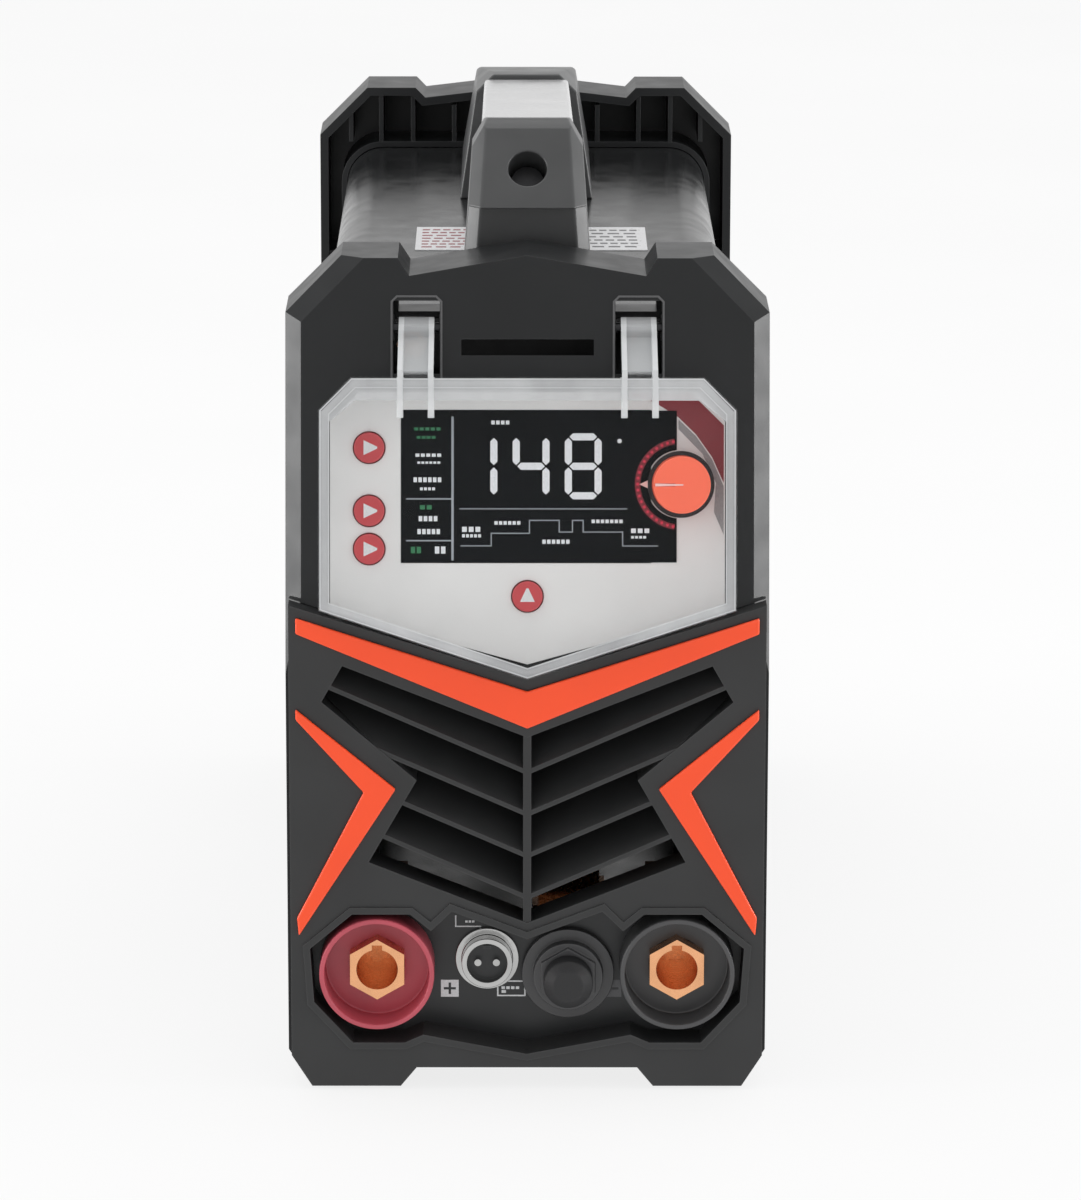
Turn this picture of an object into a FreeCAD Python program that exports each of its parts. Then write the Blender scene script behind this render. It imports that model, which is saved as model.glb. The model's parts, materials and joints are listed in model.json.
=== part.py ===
import FreeCAD, Part
import math
import os
import Sketcher

# Portable inverter welder.  X runs to the right seen from the front, Y to the rear, Z up.
# The origin lies on the floor, under the middle of the bounding box.  Lengths are in millimetres.

doc = FreeCAD.newDocument("inverter_welder")
sheet = doc.addObject("Spreadsheet::Sheet", "dims")
sheet_rows = []
pieces = {}


class Size:
    """A number together with the spreadsheet expression that gives it."""

    def __init__(self, value, text):
        self.value = float(value)
        self.text = text

    def __add__(self, other):
        other = as_size(other)
        return Size(self.value + other.value, f"({self.text} + {other.text})")

    def __sub__(self, other):
        other = as_size(other)
        return Size(self.value - other.value, f"({self.text} - {other.text})")

    def __mul__(self, other):
        other = as_size(other)
        return Size(self.value * other.value, f"({self.text} * {other.text})")

    def __truediv__(self, other):
        other = as_size(other)
        return Size(self.value / other.value, f"({self.text} / {other.text})")

    def __radd__(self, other):
        return as_size(other) + self

    def __rsub__(self, other):
        return as_size(other) - self

    def __rmul__(self, other):
        return as_size(other) * self

    def __neg__(self):
        return Size(-self.value, f"(0 - {self.text})")

    def __float__(self):
        return self.value


def as_size(number):
    if isinstance(number, Size):
        return number
    return Size(number, f"({number!r})")


def size(alias, value):
    """Put one driving dimension in the spreadsheet."""
    row = len(sheet_rows) + 1
    sheet_rows.append(alias)
    sheet.set(f"A{row}", alias)
    sheet.set(f"B{row}", repr(float(value)))
    sheet.setAlias(f"B{row}", alias)
    return Size(value, f"dims.{alias}")


def sine(angle):
    return Size(math.sin(math.radians(angle.value)), f"sin({angle.text} * 1 deg)")


def cosine(angle):
    return Size(math.cos(math.radians(angle.value)), f"cos({angle.text} * 1 deg)")


def tangent(angle):
    return Size(math.tan(math.radians(angle.value)), f"tan({angle.text} * 1 deg)")


# ---------------------------------------------------------------- driving dimensions

# Outline that the front and rear bezels share, seen from the front.
bezel_width = size("bezel_width", 150)
case_height = size("case_height", 260)
corner_cut = size("corner_cut", 17.3)
shoulder_run = size("shoulder_run", 17.6)
notch_run = size("notch_run", 3.5)
notch_drop = size("notch_drop", 5.4)
rear_notch_drop = size("rear_notch_drop", 3.6)
ridge_rise = size("ridge_rise", 0.8)
foot_height = size("foot_height", 10.9)
foot_inset = size("foot_inset", 7)
foot_inner = size("foot_inner", 39)
belly_height = size("belly_height", 6.1)
belly_half = size("belly_half", 34)
bezel_wall = size("bezel_wall", 3)

# Lengths along the machine, measured back from the plane of the lower front panel.
case_length = size("case_length", 392)
front_bezel_end = size("front_bezel_end", 57)
rear_bezel_depth = size("rear_bezel_depth", 27)
cap_reach = size("cap_reach", 4.5)
nozzle_reach = size("nozzle_reach", 18)

# Sloping control face.
face_lean = size("face_lean", 12)
face_set_back = size("face_set_back", 7.5)
face_foot_height = size("face_foot_height", 157)
face_chamfer = size("face_chamfer", 5)
overlay_thick = size("overlay_thick", 0.8)
overlay_half = size("overlay_half", 61)
overlay_top = size("overlay_top", 64)
overlay_corner = size("overlay_corner", 9)
overlay_side_foot = size("overlay_side_foot", -3.5)
overlay_tip = size("overlay_tip", -20.2)
window_left = size("window_left", -38.9)
window_right = size("window_right", 38)
window_low = size("window_low", 11.4)
window_high = size("window_high", 58.3)
display_depth = size("display_depth", 11)
board_thick = size("board_thick", 1.6)

# Buttons and knob.
button_radius = size("button_radius", 4.75)
button_proud = size("button_proud", 1.3)
button_gap = size("button_gap", 0.3)
button_travel = size("button_travel", 0.8)
button_column = size("button_column", -48.9)
button_top_height = size("button_top_height", 46.8)
button_middle_height = size("button_middle_height", 27.3)
button_low_height = size("button_low_height", 15.5)
button_centre_height = size("button_centre_height", 0.9)
knob_across = size("knob_across", 47.3)
knob_height = size("knob_height", 35.6)
knob_skirt_radius = size("knob_skirt_radius", 10.2)
knob_cap_radius = size("knob_cap_radius", 8.8)
knob_length = size("knob_length", 14.5)
shaft_radius = size("shaft_radius", 3)
bushing_radius = size("bushing_radius", 3.6)

# Flip cover and its hinges.
flap_half = size("flap_half", 64)
flap_top = size("flap_top", 68.5)
flap_corner = size("flap_corner", 10)
flap_side_foot = size("flap_side_foot", -3)
flap_tip = size("flap_tip", -24)
flap_depth = size("flap_depth", 20)
flap_wall = size("flap_wall", 1.6)
hinge_across = size("hinge_across", 34.3)
hinge_height = size("hinge_height", 84)
hinge_inset = size("hinge_inset", 3)
pin_radius = size("pin_radius", 1.5)
pin_clearance = size("pin_clearance", 0.06)
lug_thick = size("lug_thick", 2.5)
arm_width = size("arm_width", 11)
arm_leg = size("arm_leg", 1.6)
slot_width = size("slot_width", 14)
slot_low = size("slot_low", 69.8)
slot_high = size("slot_high", 92)
slit_half = size("slit_half", 20.5)
slit_height = size("slit_height", 77.8)
slit_opening = size("slit_opening", 5)

# Lower panel, its louvres and the orange trims.
panel_margin = size("panel_margin", 1.2)
panel_thick = size("panel_thick", 3)
panel_peak = size("panel_peak", 133.2)
louvre_count = 4
louvre_first = size("louvre_first", 102.5)
louvre_pitch = size("louvre_pitch", 13.5)
louvre_slope = size("louvre_slope", 24)
louvre_thick = size("louvre_thick", 1.6)
louvre_depth = size("louvre_depth", 13)
louvre_rise = size("louvre_rise", 8.5)
rib_width = size("rib_width", 2.5)
trim_proud = size("trim_proud", 1.5)

# Connectors.
recess_depth = size("recess_depth", 13)
lip_width = size("lip_width", 2.2)
lip_rise = size("lip_rise", 0.7)
socket_across = size("socket_across", 47)
socket_height = size("socket_height", 38)
socket_radius = size("socket_radius", 18)
cup_radius = size("cup_radius", 16.4)
cup_depth = size("cup_depth", 11.5)
socket_bore_radius = size("socket_bore_radius", 6.5)
socket_hex = size("socket_hex", 17)
remote_across = size("remote_across", -12.5)
remote_height = size("remote_height", 39.4)
remote_radius = size("remote_radius", 8)
gas_across = size("gas_across", 12.9)
gas_height = size("gas_height", 35)
gas_flange_radius = size("gas_flange_radius", 14.5)
gas_cap_radius = size("gas_cap_radius", 7.75)
nipple_radius = size("nipple_radius", 4.8)
fit_gap = size("fit_gap", 0.3)
socket_shank = size("socket_shank", 12)
socket_tail = size("socket_tail", 22)
insert_tail = size("insert_tail", 34)
gas_shank = size("gas_shank", 6)

# Sheet metal.
cover_half = size("cover_half", 65)
cover_top = size("cover_top", 238)
cover_corner = size("cover_corner", 13)
cover_sheet = size("cover_sheet", 1.2)
tray_height = size("tray_height", 10)
tray_flange = size("tray_flange", 34)
sheet_gap = size("sheet_gap", 0.2)

# Handle.
handle_top = size("handle_top", 295)
grip_drop = size("grip_drop", 14)
grip_half = size("grip_half", 14.5)
post_base_half = size("post_base_half", 21)
post_top_half = size("post_top_half", 17.5)
rear_post_base_half = size("rear_post_base_half", 23)
rear_post_start = size("rear_post_start", 258)
post_front = size("post_front", 59)
post_lean_run = size("post_lean_run", 17)
post_lean_rise = size("post_lean_rise", 23)
post_depth = size("post_depth", 32)
post_chamfer = size("post_chamfer", 4)
grip_thick = size("grip_thick", 22)
screw_head_radius = size("screw_head_radius", 5)
screw_radius = size("screw_radius", 2.5)
screw_sink = size("screw_sink", 13)

# Fan and rear panel.
fan_size = size("fan_size", 120)
fan_depth = size("fan_depth", 25)
fan_height = size("fan_height", 88)
fan_hub_radius = size("fan_hub_radius", 20)
fan_blade_count = 7
rear_plate = size("rear_plate", 1.5)
gland_across = size("gland_across", 30)
gland_height = size("gland_height", 200)
inlet_across = size("inlet_across", 34)
inlet_height = size("inlet_height", 168)
rocker_across = size("rocker_across", -28)
rocker_height = size("rocker_height", 196)
rocker_half = size("rocker_half", 11)
rocker_half_height = size("rocker_half_height", 15)
earth_across = size("earth_across", -42)
earth_height = size("earth_height", 162)

# Inside.
main_board_height = size("main_board_height", 62)

# ---------------------------------------------------------------- derived positions

half = bezel_width / 2
front_reach = flap_depth * cosine(face_lean) - flap_tip * sine(face_lean) - face_set_back
total_length = front_reach + case_length + nozzle_reach
front = front_reach - total_length / 2
face_foot = front + face_set_back
rear_edge = front + case_length
rear_rim = rear_edge - rear_bezel_depth
rear_panel_y = rear_edge - 10
socket_face = front - 1
recess_floor = front + recess_depth
cover_start = front + front_bezel_end - 12
cover_end = rear_panel_y - 2


# ---------------------------------------------------------------- building helpers

def bind(thing, prop, value):
    """Give a property its value, and its expression where it has one."""
    if isinstance(value, Size):
        thing.setExpression(prop, value.text)
    else:
        setattr(thing, prop, value)


def place(thing, at, axis=(0, 0, 1), angle=0):
    """Move an object to a point, turned about one axis."""
    turn = FreeCAD.Rotation(FreeCAD.Vector(*axis), float(angle))
    point = FreeCAD.Vector(*[float(value) for value in at])
    thing.Placement = FreeCAD.Placement(point, turn)
    for letter, value in zip("xyz", at):
        if isinstance(value, Size):
            thing.setExpression(f"Placement.Base.{letter}", value.text)
    return thing


def on_face(thing):
    """Put an object drawn in the control face's own frame on the sloping face."""
    if not thing.Placement.isIdentity():
        thing = group(thing.Name + "_tilted", [thing])
    place(thing, (0, face_foot, face_foot_height), (1, 0, 0), -face_lean.value)
    thing.setExpression("Placement.Rotation.Angle", (0 - face_lean).text)
    return thing


def face_point(across, depth, along):
    """The machine's coordinates of a point given in the control face's frame."""
    y = face_foot + depth * cosine(face_lean) + along * sine(face_lean)
    z = face_foot_height - depth * sine(face_lean) + along * cosine(face_lean)
    return across, y, z


def box(name, low, sides):
    thing = doc.addObject("Part::Box", name)
    for prop, value in zip(("Length", "Width", "Height"), sides):
        bind(thing, prop, value)
    return place(thing, low)


ROD_TURNS = {"x": ((0, 1, 0), 90), "y": ((1, 0, 0), -90), "z": ((0, 0, 1), 0)}


def rod(name, start, radius, length, along="y"):
    thing = doc.addObject("Part::Cylinder", name)
    bind(thing, "Radius", radius)
    bind(thing, "Height", length)
    return place(thing, start, *ROD_TURNS[along])


def cone(name, start, radius_start, radius_end, length, along="y"):
    thing = doc.addObject("Part::Cone", name)
    bind(thing, "Radius1", radius_start)
    bind(thing, "Radius2", radius_end)
    bind(thing, "Height", length)
    return place(thing, start, *ROD_TURNS[along])


VIEW_PLANES = {"front": "XZ_Plane", "top": "XY_Plane", "side": "YZ_Plane"}


def plate(name, view, outline, start, thick):
    """A polygon drawn in one view and padded along +Y, +Z or +X from the start plane."""
    body = doc.addObject("PartDesign::Body", name)
    sketch = body.newObject("Sketcher::SketchObject", name + "_sketch")
    planes = {feature.Role: feature for feature in body.Origin.OriginFeatures}
    sketch.AttachmentSupport = [(planes[VIEW_PLANES[view]], "")]
    sketch.MapMode = "FlatFace"
    corners = [FreeCAD.Vector(float(x), float(y), 0) for x, y in outline]
    count = len(corners)
    for index, corner in enumerate(corners):
        sketch.addGeometry(Part.LineSegment(corner, corners[(index + 1) % count]), False)
    for index in range(count):
        sketch.addConstraint(Sketcher.Constraint("Coincident", index, 2, (index + 1) % count, 1))
    for index, (x, y) in enumerate(outline):
        for kind, value, axis in (("DistanceX", as_size(x), -2), ("DistanceY", as_size(y), -1)):
            if abs(value.value) < 1e-9:
                sketch.addConstraint(Sketcher.Constraint("PointOnObject", index, 1, axis))
                continue
            number = sketch.addConstraint(Sketcher.Constraint(kind, index, 1, value.value))
            sketch.setExpression(f"Constraints[{number}]", value.text)
    pad = body.newObject("PartDesign::Pad", name + "_pad")
    pad.Profile = sketch
    bind(pad, "Length", thick)
    if view == "front":
        pad.Reversed = True
    body.Tip = pad
    moves = {"front": (0, start, 0), "top": (0, 0, start), "side": (start, 0, 0)}
    return place(body, moves[view])


def regular(name, at, across_flats, length, sides=6, turned=0):
    """A regular prism along +Y."""
    thing = doc.addObject("Part::Prism", name)
    thing.Polygon = sides
    bind(thing, "Circumradius", across_flats / (2 * math.cos(math.pi / sides)))
    bind(thing, "Height", length)
    place(thing, at, (1, 0, 0), -90)
    spin = FreeCAD.Rotation(FreeCAD.Vector(0, 0, 1), turned)
    thing.Placement.Rotation = thing.Placement.Rotation.multiply(spin)
    return thing


def cut(name, base, *tools):
    for index, tool in enumerate(tools):
        thing = doc.addObject("Part::Cut", f"{name}_cut_{index}")
        thing.Base = base
        thing.Tool = tool
        base = thing
    return base


def cut_all(name, base, tools):
    """Cut with several tools that stay clear of each other."""
    return cut(name, base, group(name + "_tools", tools))


def fuse(name, *shapes):
    thing = doc.addObject("Part::MultiFuse", name + "_fuse")
    thing.Shapes = list(shapes)
    return thing


def common(name, first, second):
    thing = doc.addObject("Part::Common", name + "_common")
    thing.Base = first
    thing.Tool = second
    return thing


def group(name, shapes):
    thing = doc.addObject("Part::Compound", name + "_group")
    thing.Links = list(shapes)
    return thing


def piece(name, thing):
    """Name a finished sub-part."""
    thing.Label = name
    pieces[name] = thing
    return thing


def mirrored(outline):
    """A symmetric polygon from its right half, listed from the bottom up."""
    left = [(-x, z) for x, z in reversed(outline) if float(x) != 0]
    return list(outline) + left


def inset(outline, distance):
    """The polygon moved inwards by a distance, for a polygon listed anticlockwise."""
    points = [(float(x), float(z)) for x, z in outline]
    count = len(points)
    moved = []
    for index, (x, z) in enumerate(outline):
        before, here, after = points[index - 1], points[index], points[(index + 1) % count]
        first = unit_normal(before, here)
        second = unit_normal(here, after)
        scale = 1 + first[0] * second[0] + first[1] * second[1]
        shift_x = round((first[0] + second[0]) / scale, 9)
        shift_z = round((first[1] + second[1]) / scale, 9)
        moved.append((x + distance * shift_x, z + distance * shift_z))
    return moved


def unit_normal(start, end):
    """The inward normal of an anticlockwise edge."""
    run = end[0] - start[0]
    rise = end[1] - start[1]
    length = math.hypot(run, rise)
    return -rise / length, run / length


# ---------------------------------------------------------------- shared outlines

shoulder_out = half - corner_cut
shoulder_in = shoulder_out - shoulder_run

def end_outline(drop):
    """The outline of a moulded end, with the depth of the dip between its shoulders."""
    return mirrored([
        (belly_half, belly_height),
        (foot_inner, 0),
        (half - foot_inset, 0),
        (half, foot_height),
        (half, case_height - corner_cut),
        (shoulder_out, case_height),
        (shoulder_in, case_height),
        (shoulder_in - notch_run, case_height - drop),
        (0, case_height + ridge_rise),
    ])


bezel_outline = end_outline(notch_drop)
rear_outline = end_outline(rear_notch_drop)


grille_outline = mirrored([
    (0, 54.7),
    (49.3, 74.4),
    (34.3, 100.9),
    (63.7, 126),
    (57.2, 137.5),
    (0, 114.7),
])

recess_outline = mirrored([
    (0, 12),
    (32.5, 18.3),
    (38.4, 15.7),
    (54.5, 15.7),
    (66.6, 29),
    (67.8, 46.4),
    (54.6, 57.6),
    (36.5, 57.6),
    (30, 52.2),
    (23.5, 58.6),
    (0, 49.6),
])


def in_front_of_face(name, depth):
    """Everything in front of a plane parallel to the control face."""
    reach = 120
    return on_face(box(name, (-half - 20, depth - reach, -2 * case_height),
                       (bezel_width + 40, reach, 4 * case_height)))


def cover_tunnel(name, side_gap, start, length):
    """A solid block with the cover's outer section grown by a gap, standing on the tray's plane."""
    low = tray_height - side_gap
    block = box(name, (-cover_half - side_gap, start, low),
                (2 * (cover_half + side_gap), length, cover_top + side_gap - low))
    rounded = doc.addObject("Part::Fillet", name + "_round")
    doc.recompute()
    rounded.Base = block
    radius = cover_corner.value + float(side_gap)
    rounded.Edges = [(number, radius, radius) for number in long_top_edges(block)]
    return rounded


def long_top_edges(block):
    """The two edges along Y at the top of a box."""
    top = block.Shape.BoundBox.ZMax
    found = []
    for number, edge in enumerate(block.Shape.Edges, start=1):
        bounds = edge.BoundBox
        if abs(bounds.ZMin - top) < 1e-6 and bounds.YLength > 1 and bounds.XLength < 1e-6:
            found.append(number)
    return found


# ---------------------------------------------------------------- front bezel

def upper_front_edges(shape):
    """Edges where the sloping face meets the outside of the bezel."""
    normal = FreeCAD.Vector(0, -cosine(face_lean).value, sine(face_lean).value)
    foot = FreeCAD.Vector(*[float(value) for value in face_point(0, 0, 0)])
    inner = shoulder_out.value - 1e-6
    found = []
    for number, edge in enumerate(shape.Edges, start=1):
        points = [vertex.Point for vertex in edge.Vertexes]
        flat = all(abs((point - foot).dot(normal)) < 1e-4 for point in points)
        one_side = points[0].x * points[-1].x > 0
        if flat and one_side and all(abs(point.x) > inner for point in points):
            found.append(number)
    return found


def make_front_bezel():
    depth = front_bezel_end - face_set_back
    lead = 60
    block = plate("bezel_block", "front", bezel_outline, front - lead, front_bezel_end + lead)
    sloped = cut("bezel_sloped", block, in_front_of_face("bezel_slope_tool", 0))
    doc.recompute()
    chamfered = doc.addObject("Part::Chamfer", "bezel_chamfer")
    chamfered.Base = sloped
    flat = face_chamfer.value
    chamfered.Edges = [(number, flat, flat) for number in upper_front_edges(sloped.Shape)]
    chamfered = cut("bezel_squared", chamfered, box(
        "bezel_foot_tool", (-half - 20, front - lead - 20, -20),
        (bezel_width + 40, face_set_back + lead + 20, case_height + 40)))
    inner = plate("bezel_inner", "front", inset(bezel_outline, bezel_wall),
                  face_foot + bezel_wall, depth)
    inner = cut("bezel_inner_sloped", inner, in_front_of_face("bezel_back_of_face", bezel_wall))
    shell = cut("bezel_shell", chamfered, inner)
    boss = plate("bezel_boss", "front",
                 [(0, panel_peak + fit_gap), (half - panel_margin, face_foot_height + 0.2),
                  (-half + panel_margin, face_foot_height + 0.2)],
                 front + 0.5, face_set_back + bezel_wall - 0.5)
    boss = cut("bezel_boss_sloped", boss, in_front_of_face("boss_slope_tool", 0))
    collar_outer = cover_tunnel("front_collar_outer", sheet_gap + 2, cover_start, 12)
    collar_inner = cover_tunnel("front_collar_inner", sheet_gap, cover_start - 1, 14)
    collar = cut("front_collar", collar_outer, collar_inner)
    whole = fuse("bezel_whole", shell, boss, collar, *collar_ribs("front", cover_start, 12))
    wall_room = 2
    whole = cut("bezel_opened", whole,
                plate("bezel_recess_room", "front", inset(recess_outline, -wall_room), front, 25),
                plate("bezel_grille_room", "front", inset(grille_outline, -wall_room), front, 25))
    tools = [face_hole("window_hole", window_left, window_right, window_low, window_high)]
    tools += [face_hole(f"slot_hole_{side:+d}", side * hinge_across - slot_width / 2,
                        side * hinge_across + slot_width / 2, slot_low, slot_high)
              for side in (-1, 1)]
    tools.append(on_face(box("slit_hole", (-slit_half, -1, slit_height - slit_opening / 2),
                             (2 * slit_half, bezel_wall + 8, slit_opening))))
    for name, across, along in button_places():
        hole = rod(name + "_hole", (across, -5, along), button_radius + button_gap, 12)
        room = rod(name + "_room", (across, bezel_wall, along), button_radius + 1.2,
                   button_travel + 8.2)
        tools.append(on_face(fuse(name + "_bore", hole, room)))
    tools.append(on_face(rod("knob_hole", (knob_across, -5, knob_height), bushing_radius + 0.1, 12)))
    pins = [hinge_pin(f"pin_hole_{side:+d}", side) for side in (-1, 1)]
    whole = fuse("bezel_lugged", cut_all("bezel_drilled", whole, tools), *hinge_lugs())
    return piece("front_bezel", cut_all("front_bezel", whole, pins))


def face_hole(name, left, right, low, high):
    """A cutter through the control face."""
    grow = 0.2
    return on_face(box(name, (left - grow, -20, low - grow),
                       (right - left + 2 * grow, 26, high - low + 2 * grow)))


def button_places():
    """Name, place across and place along the face of each push button."""
    return [
        ("button_upper", button_column, button_top_height),
        ("button_middle", button_column, button_middle_height),
        ("button_lower", button_column, button_low_height),
        ("button_centre", as_size(0), button_centre_height),
    ]


def hinge_lugs():
    lugs = []
    for side in (-1, 1):
        for edge in (-1, 1):
            middle = side * hinge_across + edge * (slot_width / 2 + lug_thick / 2)
            lugs.append(on_face(box(f"lug_{side:+d}{edge:+d}", (middle - lug_thick / 2, 2, hinge_height - 4),
                                    (lug_thick, 6, 8))))
    return lugs


def hinge_pin(name, side):
    length = slot_width + 2 * lug_thick
    low = side * hinge_across - length / 2
    return on_face(rod(name, (low, hinge_inset, hinge_height), pin_radius, length, "x"))


def collar_ribs(name, start, length):
    """Ribs between a bezel's rim and the collar that holds the cover."""
    low = cover_top + sheet_gap + 1.8
    top_ribs = [
        (shoulder_in - 14, case_height - notch_drop - 1),
        (shoulder_in + 1, case_height - 1),
        (shoulder_out - 5, case_height - 1),
        (shoulder_out + 6, case_height - 8),
    ]
    ribs = []
    for side in (-1, 1):
        for index, (across, top) in enumerate(top_ribs):
            ribs.append(box(f"{name}_rib_{index}{side:+d}", (side * across - 0.8, start, low),
                            (1.6, length, top - low)))
        for index, height in enumerate((foot_height + 30, case_height / 2, cover_top - 40)):
            reach = half - cover_half - sheet_gap - 2.8
            edge = cover_half + sheet_gap + 1.8 if side > 0 else 1 - half
            ribs.append(box(f"{name}_side_rib_{index}{side:+d}", (edge, start, height),
                            (reach, length, 1.6)))
    return ribs


make_front_bezel()


# ---------------------------------------------------------------- lower panel and its trims

def lower_panel_outline():
    """The proud panel's outline: the bezel's foot with a V-shaped upper edge."""
    side = half - panel_margin
    return mirrored([
        (belly_half + 0.6, belly_height + panel_margin),
        (foot_inner + 0.6, panel_margin),
        (half - foot_inset - 0.6, panel_margin),
        (side, foot_height + 0.4),
        (side, face_foot_height - 0.2),
        (0, panel_peak),
    ])


def make_grille_panel():
    outline = lower_panel_outline()
    block = plate("panel_block", "front", outline, front, face_set_back)
    hollow = plate("panel_hollow", "front", inset(outline, panel_thick), front + panel_thick,
                   face_set_back)
    skin = cut("panel_skin", block, hollow)
    grille_wall = plate("grille_wall", "front", inset(grille_outline, -1.6), front,
                        louvre_depth + 1)
    recess_wall = plate("recess_wall", "front", inset(recess_outline, -1.6), front, recess_depth)
    lip = plate("recess_lip", "front", inset(recess_outline, -lip_width), front - lip_rise,
                lip_rise + panel_thick)
    whole = fuse("panel_walled", skin, grille_wall, recess_wall, lip)
    grille_hole = plate("grille_hole", "front", grille_outline, front - 5, louvre_depth + 20)
    recess_hole = plate("recess_hole", "front", recess_outline, front - 5, recess_depth + 20)
    whole = cut("panel_open", whole, grille_hole, recess_hole)
    blades = []
    for index in range(louvre_count):
        blades.append(louvre(index))
    blades.append(box("grille_rib", (-rib_width / 2, front + 0.4, 40),
                      (rib_width, louvre_depth, 90)))
    filling = plate("grille_filling", "front", inset(grille_outline, -0.8), front,
                    louvre_depth + 1)
    blades = common("grille_blades", fuse("grille_loose", *blades), filling)
    return piece("grille_panel", fuse("grille_panel", whole, blades))


def louvre(index):
    """One V-shaped blade, rising towards the rear."""
    thing = doc.addObject("Part::Extrusion", f"louvre_{index}")
    centre = louvre_first - index * louvre_pitch
    run = half - 8
    rise = run * tangent(louvre_slope)
    outline = [(0, centre), (run, centre + rise), (run, centre + rise + louvre_thick),
               (0, centre + louvre_thick), (-run, centre + rise + louvre_thick),
               (-run, centre + rise)]
    sketch = doc.addObject("Sketcher::SketchObject", f"louvre_{index}_sketch")
    corners = [FreeCAD.Vector(float(x), float(z), 0) for x, z in outline]
    for number, corner in enumerate(corners):
        sketch.addGeometry(Part.LineSegment(corner, corners[(number + 1) % 6]), False)
    for number in range(6):
        sketch.addConstraint(Sketcher.Constraint("Coincident", number, 2, (number + 1) % 6, 1))
    for number, (x, z) in enumerate(outline):
        height = sketch.addConstraint(Sketcher.Constraint("DistanceY", number, 1, float(z)))
        sketch.setExpression(f"Constraints[{height}]", z.text)
        if float(x) == 0:
            sketch.addConstraint(Sketcher.Constraint("PointOnObject", number, 1, -2))
            continue
        across = sketch.addConstraint(Sketcher.Constraint("DistanceX", number, 1, float(x)))
        sketch.setExpression(f"Constraints[{across}]", x.text)
    place(sketch, (0, front + 0.4, 0), (1, 0, 0), 90)
    thing.Base = sketch
    thing.DirMode = "Custom"
    thing.Dir = FreeCAD.Vector(0, louvre_depth.value, louvre_rise.value)
    length = math.hypot(louvre_depth.value, louvre_rise.value)
    thing.LengthFwd = length
    thing.setExpression("LengthFwd", f"sqrt({louvre_depth.text} ^ 2 + {louvre_rise.text} ^ 2)")
    thing.Solid = True
    return thing


def make_trims():
    top = mirrored([(0, 117.8), (half - 3.5, 148), (half - 3.5, 153), (0, 129.6)])
    piece("chevron_trim_top", plate("chevron_trim_top", "front", top, front - trim_proud, trim_proud))
    outer = half - 3.3
    side = [(outer - 0.5, 50.8), (outer, 56.6), (50.8, 97.3), (outer, 120.6), (outer, 123.9),
            (40.8, 98.3)]
    for name, sign in (("chevron_trim_left", -1), ("chevron_trim_right", 1)):
        outline = [(sign * x, z) for x, z in side]
        piece(name, plate(name, "front", outline, front - trim_proud, trim_proud))


make_grille_panel()
make_trims()

# ---------------------------------------------------------------- control face

def overlay_outline():
    """The silver sheet on the control face, in the face's own frame."""
    return mirrored([
        (0, overlay_tip),
        (overlay_half, overlay_side_foot),
        (overlay_half, overlay_top - overlay_corner),
        (overlay_half - overlay_corner, overlay_top),
    ])


def make_overlay():
    sheet_piece = on_face_plate("overlay_sheet", overlay_outline(), -overlay_thick, overlay_thick)
    tools = [face_hole("overlay_window", window_left, window_right, window_low, window_high)]
    for name, across, along in button_places():
        tools.append(on_face(rod(name + "_overlay_hole", (across, -5, along),
                                 button_radius + button_gap, 10)))
    tools.append(on_face(rod("overlay_knob_hole", (knob_across, -5, knob_height),
                             bushing_radius + 0.1, 10)))
    return piece("control_overlay", cut_all("control_overlay", sheet_piece, tools))


def on_face_plate(name, outline, depth, thick):
    """A plate parallel to the control face."""
    thing = plate(name, "front", outline, 0, thick)
    place(thing, face_point(as_size(0), depth, 0), (1, 0, 0), -face_lean.value)
    thing.setExpression("Placement.Rotation.Angle", (0 - face_lean).text)
    return thing


board_front = display_depth + overlay_thick + 0.4


def make_display():
    glass = box("display_glass", (window_left, -overlay_thick, window_low),
                (window_right - window_left, bezel_wall + overlay_thick, window_high - window_low))
    flange = box("display_flange", (window_left - 2, bezel_wall, window_low - 2),
                 (window_right - window_left - 3, display_depth - bezel_wall,
                  window_high - window_low + 4))
    return piece("display_module", on_face(fuse("display_module", glass, flange)))


def make_buttons():
    for name, across, along in button_places():
        cap = rod(name + "_cap", (across, -overlay_thick - button_proud, along), button_radius,
                  overlay_thick + button_proud + bezel_wall + 1.2)
        flange = rod(name + "_flange", (across, bezel_wall + 0.2, along), button_radius + 0.8, 1)
        stem = rod(name + "_stem", (across, bezel_wall + 1, along), 1.75,
                   board_front - bezel_wall - 4.4)
        piece(name, on_face(fuse(name, cap, flange, stem)))


def make_switches():
    switches = []
    for name, across, along in button_places():
        body = box(name + "_switch", (across - 3, board_front - 2, along - 3), (6, 2, 6))
        plunger = rod(name + "_plunger", (across, board_front - 2.4, along), 1.7, 0.4)
        switches.append(fuse(name + "_tact", body, plunger))
    return piece("tact_switches", on_face(group("tact_switches", switches)))


def make_control_board():
    board = box("control_board_blank", (-overlay_half + 2, board_front, -8),
                (2 * overlay_half - 4, board_thick, window_high + 14))
    return piece("control_board", on_face(board))


def make_encoder():
    body = box("encoder_case", (knob_across - 3.5, bezel_wall, knob_height - 6),
               (12, board_front - bezel_wall, 12))
    bushing = rod("encoder_bushing", (knob_across, -overlay_thick - 1, knob_height),
                  bushing_radius, bezel_wall + overlay_thick + 2)
    bore = rod("encoder_bore", (knob_across, -5, knob_height), shaft_radius + 0.05, 12)
    return piece("encoder_body", on_face(cut("encoder_body", fuse("encoder", body, bushing), bore)))


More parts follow.
